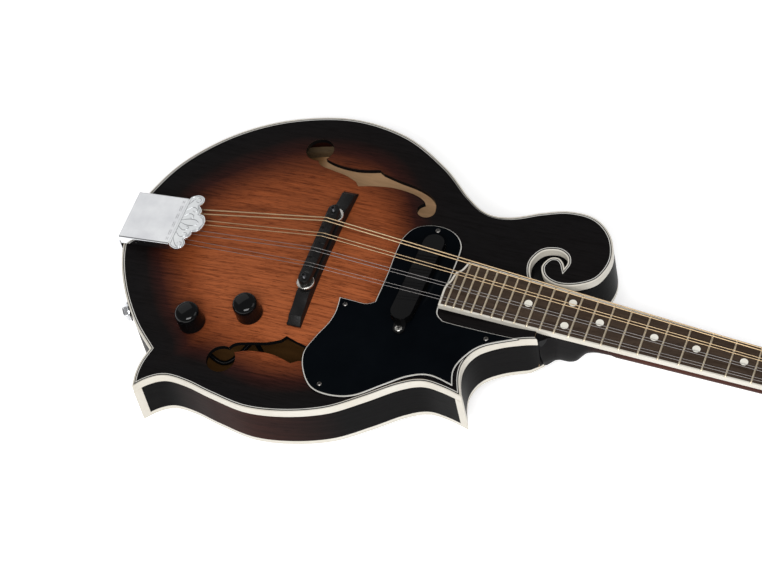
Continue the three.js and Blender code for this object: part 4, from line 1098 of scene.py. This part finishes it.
def build_bridge():
    rings = []
    slope = smooth_run([(-53.6, 12.3), (-48.5, 12.7), (-44, 13.7), (-40, 15.1), (-36.6, BASE_TOP)], 0.8)
    profile = np.vstack([[(-58.8, 7.0), (-58.4, 7.6), (-53.9, 12.1)], slope])
    ys = np.concatenate([profile[:, 0], np.linspace(-36, 36, 60), -profile[::-1, 0]])
    zs = np.concatenate([profile[:, 1], np.full(60, BASE_TOP), profile[::-1, 1]])
    for y, z in zip(ys, zs):
        rear, front = (float(arch(BRIDGE_X + x, y)) + 0.1 for x in (-5.2, 5.2))
        rings.append(np.array([(BRIDGE_X + x, y, height) for x, height in (
            (-5.2, rear), (-5.1, rear + 2.0), (-4.75, z - 0.7), (-4.55, z - 0.2), (-4.1, z), (4.1, z),
            (4.55, z - 0.2), (4.75, z - 0.7), (5.1, front + 2.0), (5.2, front))]))
    piece("bridge_foot", *loft(rings), BODY, EBONY, replaces=["bridge_base"])


def build_saddle():
    """The saddle with its notched, compensated crest, round at the two studs."""
    rings = []
    notches = [19.5 - 13 * c + w * 1.35 for c in range(4) for w in (1, -1)]
    for y in np.concatenate([np.linspace(-34.15, -STUD_Y, 14)[:-1], np.linspace(-STUD_Y, STUD_Y, 237),
                             np.linspace(STUD_Y, 34.15, 14)[1:]]):
        over = max(0.0, abs(y) - STUD_Y)
        w = 4.3 * math.sqrt(max(0.0025, 1 - (over / 4.7) ** 2))
        course = int(np.clip((26 - y) // 13, 0, 3))
        inner = float(np.clip((26.4 - abs(y)) / 1.6, 0, 1))
        cut = max([0.0] + [0.5 - abs(y - n) * 0.9 for n in notches])
        crest = SHOULDER + (CREST + 0.35 - SHOULDER) * inner - cut
        x = CREST_X[course] * inner
        half = 1.7 * inner + 0.82 * w * (1 - inner)
        brow = crest - 0.35 - 0.5 * inner
        rings.append(np.array([(BRIDGE_X + across, y, z) for across, z in (
            (-w, SADDLE_BOTTOM + 0.3), (-w, SHOULDER - 1.2), (-w * 0.95, SHOULDER - 0.5),
            (x - half, brow), (x - half * 0.55, crest), (x + half * 0.55, crest), (x + half, brow),
            (w * 0.95, SHOULDER - 0.5), (w, SHOULDER - 1.2), (w, SADDLE_BOTTOM + 0.3),
            (w * 0.93, SADDLE_BOTTOM), (-w * 0.93, SADDLE_BOTTOM))]))
    piece("bridge_top", *loft(rings), BODY, EBONY, body="saddle", replaces=["bridge_saddle"], smooth=30)


def build_studs():
    for label, side in SIDES:
        y = side * STUD_Y
        top = WHEEL_BOTTOM + WHEEL
        wheel = [(2.1, WHEEL_BOTTOM), (5.8, WHEEL_BOTTOM), (6.3, WHEEL_BOTTOM + 0.45), (6.3, top - 0.45),
                 (5.8, top), (2.1, top)]
        knurl = lathe(wheel, 120, (BRIDGE_X, y, 0),
                      ripple=lambda i, k, r: 1 - 0.035 * (i % 3 == 0) * (r > 6.2))
        piece(f"knurled_wheel_{label}", *knurl, BODY, NICKEL, body=f"wheel_{label}",
              replaces=[f"thumbwheel_{label}"], smooth=25)
        thread = [(0, 12.0), (1.5, 12.0)]
        tip = SHOULDER + 2.4
        z = 12.2
        while z < tip - 0.6:
            thread += [(1.75, z), (1.45, z + 0.22)]
            z += 0.44
        thread += [(1.85, tip - 0.5), (1.85, tip - 0.25), (1.6, tip), (0.95, tip), (0.9, tip - 1),
                   (0, tip - 1)]
        piece(f"threaded_stud_{label}", *lathe(thread, 28, (BRIDGE_X, y, 0)), BODY, BLACK_STEEL,
              replaces=[f"bridge_stud_{label}"], smooth=25)


# ------------------------------------------------------------------ tailpiece
COVER_FRONT = [
    [(-254.6, 20.5), (-253, 22.4), (-248.3, 24), (-244, 22.2), (-243, 18.2), (-245.1, 15)],
    [(-245.1, 15), (-242.6, 12.6), (-241.4, 10), (-242, 8)],
    [(-242, 8), (-238.2, 7), (-235.8, 3.5), (COVER_TIP, 0)],
]
SCROLLWORK = [
    [(-253.5, 1.0), (-248.5, 2.6), (-243.5, 2.6), (-240, 0.9)],
    [(-253.5, 4.5), (-249.5, 7.2), (-246, 6.2), (-246.1, 3.9), (-248.1, 3.9)],
    [(-253.5, 9.5), (-249.5, 13.0), (-246, 12.2), (-244.8, 10.2), (-246.7, 9.2), (-248.3, 10.3)],
    [(-253.5, 15), (-251, 19.2), (-248, 21.8), (-245.6, 20.2), (-246.2, 17.9), (-248.3, 17.9),
     (-248.9, 19.4)],
    [(-242.9, 8.8), (-243.9, 11.2), (-246, 14.0)],
    [(-236.8, 1.2), (-238.1, 4.2), (-241.1, 5.8)],
]
COVER_PIVOT = Matrix.Translation((COVER_BACK, 0, COVER_TOP))
COVER_PLACE = BODY @ COVER_PIVOT @ Matrix.Rotation(-COVER_SLOPE, 4, "Y") @ COVER_PIVOT.inverted()


def cover_skin(depth, bend):
    """One skin of the folded cover's section, at a depth in the sheet, from bass to treble side."""
    side, fold_z = COVER_Y - depth, COVER_TOP - COVER_BEND
    half = [(side, COVER_TOP - COVER_SKIRT), (side, fold_z)]
    half += [(COVER_Y - COVER_BEND + bend * math.cos(a), fold_z + bend * math.sin(a))
             for a in np.linspace(0, math.pi / 2, 8)[1:]]
    return np.array(half + [(-y, z) for y, z in reversed(half)])


def build_cover():
    """The folded cover, drawn flat, then tilted about its back top edge."""
    section = np.vstack([cover_skin(0, COVER_BEND), cover_skin(COVER, 0.4)[::-1]])
    rings = [np.column_stack([np.full(len(section), x), section])
             for x in (COVER_BACK, -284, -270, -262, COVER_FRONT_X)]
    piece("tail_cover_shell", *loft(rings), COVER_PLACE, CHROME, body="tailpiece_cover", smooth=30,
          bevel=(0.3, 2), replaces=["tailpiece_cover"])
    half = np.vstack([[(COVER_FRONT_X, 18.6)], join_runs([smooth_run(run, 0.9) for run in COVER_FRONT]),
                      [(COVER_TIP, 0)]])
    outline = mirrored(half[half[:, 1] >= 0])
    piece("tail_cover_front", *prism(outline, COVER_TOP - COVER, COVER_TOP), COVER_PLACE, ENGRAVED,
          body="tailpiece_cover", bevel=(0.35, 3))

    parts = []

    def engrave(points, radius):
        run = smooth_run(points, 0.5)
        path = np.column_stack([run, np.full(len(run), COVER_TOP)])
        taper = radius * (0.45 + 0.55 * np.sin(np.linspace(0.12, 3.02, len(run))))
        for side in (1, -1):
            parts.append(tube(path * (1, side, 1), radius, 8, taper))

    for run in SCROLLWORK:
        engrave(run, 0.26)
    for x in (-258.6, -257.4):
        for low, high in ((1.2, 6.2), (8.4, 13.2), (15, 17.6)):
            engrave([(x, low), (x, (low + high) / 2), (x, high)], 0.16)
    rim = inset(anticlockwise(outline), 0.9)
    start = int(np.argmin(np.abs(rim[:, 0] + 253.5) + (rim[:, 1] > 0) * 99))
    rim = np.roll(rim, -start, 0)
    rim = rim[rim[:, 0] > -254]
    parts.append(tube(np.column_stack([rim, np.full(len(rim), COVER_TOP)]), 0.22, 8))
    piece("tail_cover_relief", *merge(parts), COVER_PLACE, RELIEF, body="tailpiece_cover", smooth=60)


def build_tail_base():
    """The base plate with its flange over the tail, its hooks and its screws."""
    under = 3.2
    side_view = [(-262, under), (-262, 4.4), (-297.6, 4.4), (-299.5, 2.6), (-299.5, -33), (-298.3, -33),
                 (-298.3, 2.2), (-297.3, under)]
    ys = [-17, -16.7, *np.linspace(-15.5, 15.5, 9), 16.7, 17]
    parts = [loft([np.array([(x, y, z) for x, z in side_view]) for y in ys])]
    hook = smooth_run([(-272.5, 4.2), (-271.8, 7.4), (-270.6, 9.2), (-269.2, 9.6)], 0.5)
    for i in range(8):
        y = (3.5 - i) * HOOK_STEP
        parts.append(tube(np.column_stack([hook[:, 0], np.full(len(hook), y), hook[:, 1]]), 0.85, 10))
    piece("tail_base_plate", *merge(parts), BODY, CHROME, replaces=["tailpiece_base"], smooth=35)
    screws = []
    for y, z in ((-10, -8), (10, -8), (0, -28)):
        m = Matrix.Translation((-299.6, y, z)) @ Matrix.Rotation(-math.pi / 2, 4, "Y")
        screws.append(move(screw_head(2.2), m))
    piece("tail_base_screws", *merge(screws), BODY, NICKEL)


# ------------------------------------------------------------------ tuners
WORM_OFFSET = GEAR_R + WORM_R + GAP
PLATE_TOP = HEAD_BACK - GAP
PLATE_BOTTOM = PLATE_TOP - TUNER_PLATE
GEAR_TOP = PLATE_BOTTOM - GAP
WORM_Z = GEAR_TOP - WORM_R
GEAR_LOW = GEAR_TOP - GEAR
TEETH = 16
BUSHING = [(3.1, -1.5), (3.45, -1.5), (3.45, 0.02), (5.0, 0.02), (5.0, 0.5), (4.5, 0.95), (3.3, 1.1),
           (3.1, 1.0)]
POST = [(0, GEAR_TOP - 0.5), (2.8, GEAR_TOP - 0.5), (2.8, 2.4), (2.9, 2.6), (2.35, 4.4), (2.2, 5.4),
        (2.35, 6.6), (2.8, 8.4), (2.9, 11.4), (2.5, 12.6), (1.4, 13.1), (0, 13.2)]
HUB = [(0, GEAR_LOW - 1.0), (1.3, GEAR_LOW - 0.95), (2.0, GEAR_LOW - 0.5), (2.2, GEAR_LOW + 0.1),
       (0, GEAR_LOW + 0.2)]
ROD = [(0, -6.2), (1.2, -6.2), (1.35, -5.9), (1.35, 20.6), (2.2, 20.9), (2.2, 21.9), (1.4, 22.3),
       (0, 22.4)]
BUTTON = [(20.5, 1.8, 1.8), (21.1, 2.6, 2.3), (22.3, 4.4, 2.6), (24.5, 6.4, 2.5), (26.9, 6.9, 2.35),
          (29.1, 6.2, 2.1), (30.5, 4.4, 1.7), (31.2, 2.2, 1.1)]


def gear():
    """A worm wheel."""
    root = 4.55
    loop = []
    for i in range(TEETH):
        for part, r in ((0.0, root), (0.22, root), (0.36, GEAR_R), (0.64, GEAR_R), (0.78, root)):
            a = 2 * math.pi * (i + part) / TEETH
            loop.append((r * math.cos(a), r * math.sin(a)))
    return prism(np.array(loop), GEAR_LOW, GEAR_TOP)


def worm():
    """A worm of a few turns on its shaft, along +Y."""
    path = []
    for i in range(12 * 5 + 1):
        a = 2 * math.pi * i / 12
        path.append((1.55 * math.cos(a), -3.6 + 7.6 * i / 60, 1.55 * math.sin(a)))
    return tube(path, 0.45, 6)


def build_strip(label, side):
    """One side's nickel strip with its worm lugs and screws, and the bushings on the face."""
    first, last = POST_X[0] - 10, POST_X[-1] + 14
    low, high = POST_Y - 7, POST_Y + 8.5
    edge = []
    for x, y in ((first, low), (last, low), (last, high), (first, high)):
        cx, cy = (x + 3 if x == first else x - 3), (y + 3 if y == low else y - 3)
        start = math.atan2(y - cy, x - cx) - math.pi / 4
        edge += [(cx + 3 * math.cos(start + t), cy + 3 * math.sin(start + t))
                 for t in np.linspace(0, math.pi / 2, 8)]
    edge = anticlockwise(np.array(edge) * (1, side))
    holes = [circle(x, side * POST_Y, 3.4, 32) for x in POST_X]
    piece(f"tuner_strip_{label}", *prism(edge, PLATE_BOTTOM, PLATE_TOP, holes), HEAD, NICKEL,
          bevel=(0.35, 2), replaces=[f"tuner_plate_{label}"])
    lugs, reach, foot = [], 2.9, PLATE_BOTTOM + 0.2
    arc = [(reach * math.cos(a), WORM_Z + reach * math.sin(a)) for a in np.linspace(math.pi, 2 * math.pi, 12)]
    ring = np.array([(-reach, foot)] + arc + [(reach, foot)])
    for x in POST_X:
        for y in (POST_Y - 5.9, POST_Y + 5.2):
            verts, faces = loft([np.column_stack([x + WORM_OFFSET + ring[:, 0],
                                                  np.full(len(ring), side * (y + d)), ring[:, 1]])
                                 for d in (0, 1.5)])
            lugs.append((verts, faces if side < 0 else flip(faces)))
    piece(f"worm_lugs_{label}", *merge(lugs), HEAD, NICKEL, bevel=(0.25, 2))
    screws = []
    for x in (first + 3.4, (POST_X[1] + POST_X[2]) / 2 + 3.5, last - 3.4):
        m = Matrix.Translation((x, side * (POST_Y + 0.5), PLATE_BOTTOM - 0.05))
        screws.append(move(screw_head(1.6), m @ Matrix.Rotation(math.pi, 4, "X")))
    piece(f"strip_screws_{label}", *merge(screws), HEAD, NICKEL)
    bushings = [lathe(BUSHING, 40, (x, side * POST_Y, 0)) for x in POST_X]
    piece(f"post_bushings_{label}", *merge(bushings), HEAD, NICKEL)


def build_tuner(label, side, number, x):
    """One string post with its gear, and the worm shaft with its button."""
    place = HEAD @ Matrix.Translation((x, side * POST_Y, 0))
    body = f"tuner_post_{label}_{number}"
    piece(f"string_post_{label}_{number}", *merge([lathe(POST, 32), gear(), lathe(HUB, 24)]), place,
          NICKEL, body=body, replaces=[body], smooth=35)
    turn = Matrix.Identity(4) if side > 0 else Matrix.Rotation(math.pi, 4, "Z")
    place = HEAD @ Matrix.Translation((x + WORM_OFFSET, side * POST_Y, WORM_Z)) @ turn
    rod = move(lathe(ROD, 24), Matrix.Rotation(-math.pi / 2, 4, "X"))
    body = f"tuner_shaft_{label}_{number}"
    piece(f"worm_shaft_{label}_{number}", *merge([rod, worm()]), place, NICKEL, body=body,
          replaces=[body], smooth=45)
    a = np.arange(24) * 2 * math.pi / 24
    rings = [np.column_stack([wide * np.cos(a), np.full(24, y), -thick * np.sin(a)])
             for y, wide, thick in BUTTON]
    piece(f"button_{label}_{number}", *loft(rings), place, PEARL, body=body, smooth=60)


def build_tuners():
    for label, side in SIDES:
        build_strip(label, side)
        for i, x in enumerate(POST_X):
            build_tuner(label, side, i + 1, x)


# ------------------------------------------------------------------ strings
STRINGS = [("g1", 0.51, 0, 1), ("g2", 0.51, 1, 1), ("d1", 0.33, 2, 1), ("d2", 0.33, 3, 1),
           ("a1", 0.2, 3, -1), ("a2", 0.2, 2, -1), ("e1", 0.15, 1, -1), ("e2", 0.15, 0, -1)]


def string_between(a, b, radius, wound):
    """A tube from a to b. A wound string has the ridges of its winding."""
    a, b = np.array(a, float), np.array(b, float)
    length = float(np.linalg.norm(b - a))
    if not wound:
        count = max(12, int(length / 8))
        return tube([a + (b - a) * t for t in np.linspace(0, 1, count)], radius, 8)
    count = int(length / 0.3)
    radii = [radius * (1.0 if i % 2 else 0.86) for i in range(count)]
    return tube([a + (b - a) * t for t in np.linspace(0, 1, count)], radius, 7, radii)


def build_strings():
    for i, (name, radius, post, side) in enumerate(STRINGS):
        course, within = i // 2, 0.5 if i % 2 == 0 else -0.5
        wound = i < 4
        paint = BRONZE if wound else STEEL
        hook = Vector((HOOK_X, (3.5 - i) * HOOK_STEP, HOOK_Z))
        top = Vector((BRIDGE_X + CREST_X[course], 19.5 - 13 * course + within * 2.7, CREST + GAP + radius))
        nut = NECK_IN_BODY @ Vector((GAP + NUT_LENGTH * 0.4, 10.8 - 7.2 * course + within * 1.9,
                                     NUT_TOP + GAP + radius))
        reach = POST_R + GAP + radius
        end = HEAD_IN_BODY @ Vector((POST_X[post], side * (POST_Y - reach), 5))
        for part, fixed in (("tail", hook), ("neck", nut)):
            obj = piece(f"string_{name}_{part}", *string_between(fixed, top, radius, wound), BODY, paint,
                        body=None, smooth=60, replaces=[f"string_{name}"] if part == "neck" else ())
            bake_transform(obj)
        piece(f"string_{name}_head", *string_between(nut, end, radius, wound), BODY, paint, smooth=60)
        loop = []
        turns = 2.6 if wound else 4.2
        steps = int(turns * 20)
        for k in range(steps + 1):
            a = -side * math.pi / 2 + side * 2 * math.pi * k / 20
            drop = 2.15 * radius * k / 20
            r = 2.5 + radius + max(0, 1 - k / 10) * 0.3
            loop.append((r * math.cos(a), r * math.sin(a), 5 - drop))
        place = HEAD @ Matrix.Translation((POST_X[post], side * POST_Y, 0))
        label = "bass" if side > 0 else "treble"
        piece(f"string_{name}_coil", *tube(loop, radius, 8), place, paint,
              body=f"tuner_post_{label}_{post + 1}", smooth=60)
        ring = [(HOOK_X - 3.4 + 2.9 * math.cos(t), hook.y + 1.5 * math.sin(t), HOOK_Z - 0.2)
                for t in np.linspace(0, 2 * math.pi, 28)]
        piece(f"string_{name}_loop", *tube(ring, max(0.2, radius * 0.6), 8), BODY, STEEL, smooth=60)


# ------------------------------------------------------------------ carried-over CAD pieces
def paint_frame_nodes():
    paints = {"inner_wood": INNER_WOOD, "nickel": NICKEL, "steel": STEEL}
    slots = {s["node"]: s["material_slot"] for s in frame["record"]["subparts"]}
    for name, obj in frame["nodes"].items():
        paint = paints.get(slots.get(name))
        if paint and not obj.hide_render:
            obj.data.materials.clear()
            obj.data.materials.append(paint)


# ------------------------------------------------------------------ stage
def build_stage():
    size = 6.0
    mesh = bpy.data.meshes.new("floor")
    corners = [(-size, -size, 0), (size, -size, 0), (size, size, 0), (-size, size, 0)]
    mesh.from_pydata(corners, [], [(0, 1, 2, 3)])
    floor = bpy.data.objects.new("floor", mesh)
    bpy.context.scene.collection.objects.link(floor)
    p = Paint("studio_floor", roughness=0.85, specular=0.1)
    p.colour(p.ramp(p.noise(3, detail=2), [(0.3, (0.93, 0.93, 0.93)), (0.7, (0.95, 0.95, 0.95))]))
    p.shader.inputs["Emission Color"].default_value = (1, 1, 1, 1)
    p.shader.inputs["Emission Strength"].default_value = 0.46
    mesh.materials.append(p.material)
    world = bpy.data.worlds.new("studio")
    bpy.context.scene.world = world
    world.use_nodes = True
    world.node_tree.nodes["Background"].inputs["Color"].default_value = (1, 1, 1, 1)
    world.node_tree.nodes["Background"].inputs["Strength"].default_value = 0.26


def area_light(name, at, towards, size, power):
    light = bpy.data.lights.new(name, "AREA")
    light.shape = "RECTANGLE"
    light.size, light.size_y = size
    light.energy = power
    obj = bpy.data.objects.new(name, light)
    obj.location = at
    obj.rotation_mode = "QUATERNION"
    obj.rotation_quaternion = (Vector(towards) - Vector(at)).to_track_quat("-Z", "Y")
    bpy.context.scene.collection.objects.link(obj)


def build_camera():
    """A long lens from the treble side, above and ahead of the bridge, rolled a little."""
    at = BODY @ Vector((551, -1069, 1675))
    aim = BODY @ Vector((-103.1, -4.2, 0))
    data = bpy.data.cameras.new("camera")
    data.sensor_width = 36
    data.lens = 142.03
    data.clip_start, data.clip_end = 0.1, 50
    camera = bpy.data.objects.new("camera", data)
    bpy.context.scene.collection.objects.link(camera)
    forward = (aim - at).normalized()
    tilt = (BODY.to_3x3() @ Vector((0, 0, 1))).normalized()
    right = forward.cross(tilt).normalized()
    up = right.cross(forward)
    roll = math.radians(-14.48)
    turned_right = right * math.cos(roll) + up * math.sin(roll)
    turned_up = turned_right.cross(forward)
    axes = Matrix((turned_right, turned_up, -forward)).transposed().to_4x4()
    camera.matrix_world = Matrix.Translation(at) @ axes
    bpy.context.scene.camera = camera


build_stage()
build_camera()
area_light("key", (0.34, -1.05, 1.35), (0, 0, 0.05), (1.0, 0.7), 27)
area_light("cover_glow", (-1.13, 0.80, 1.13), (-0.27, 0, 0.05), (1.25, 1.25), 3.2)
area_light("fill", (1.5, 0.3, 1.3), (0.1, 0, 0.05), (1.0, 1.0), 5)
bpy.context.scene.view_settings.view_transform = "Standard"

for build in (build_top, build_rim_and_back, build_heel_shoulder, build_point_strips, build_neck,
              build_volute, build_board_ramp, build_truss_cover, build_board, build_frets, build_dots,
              build_nut, build_guard, build_pickup, build_knobs, build_leads, build_jack, build_bridge,
              build_saddle, build_studs, build_cover, build_tail_base, build_tuners, build_strings,
              paint_frame_nodes):
    build()
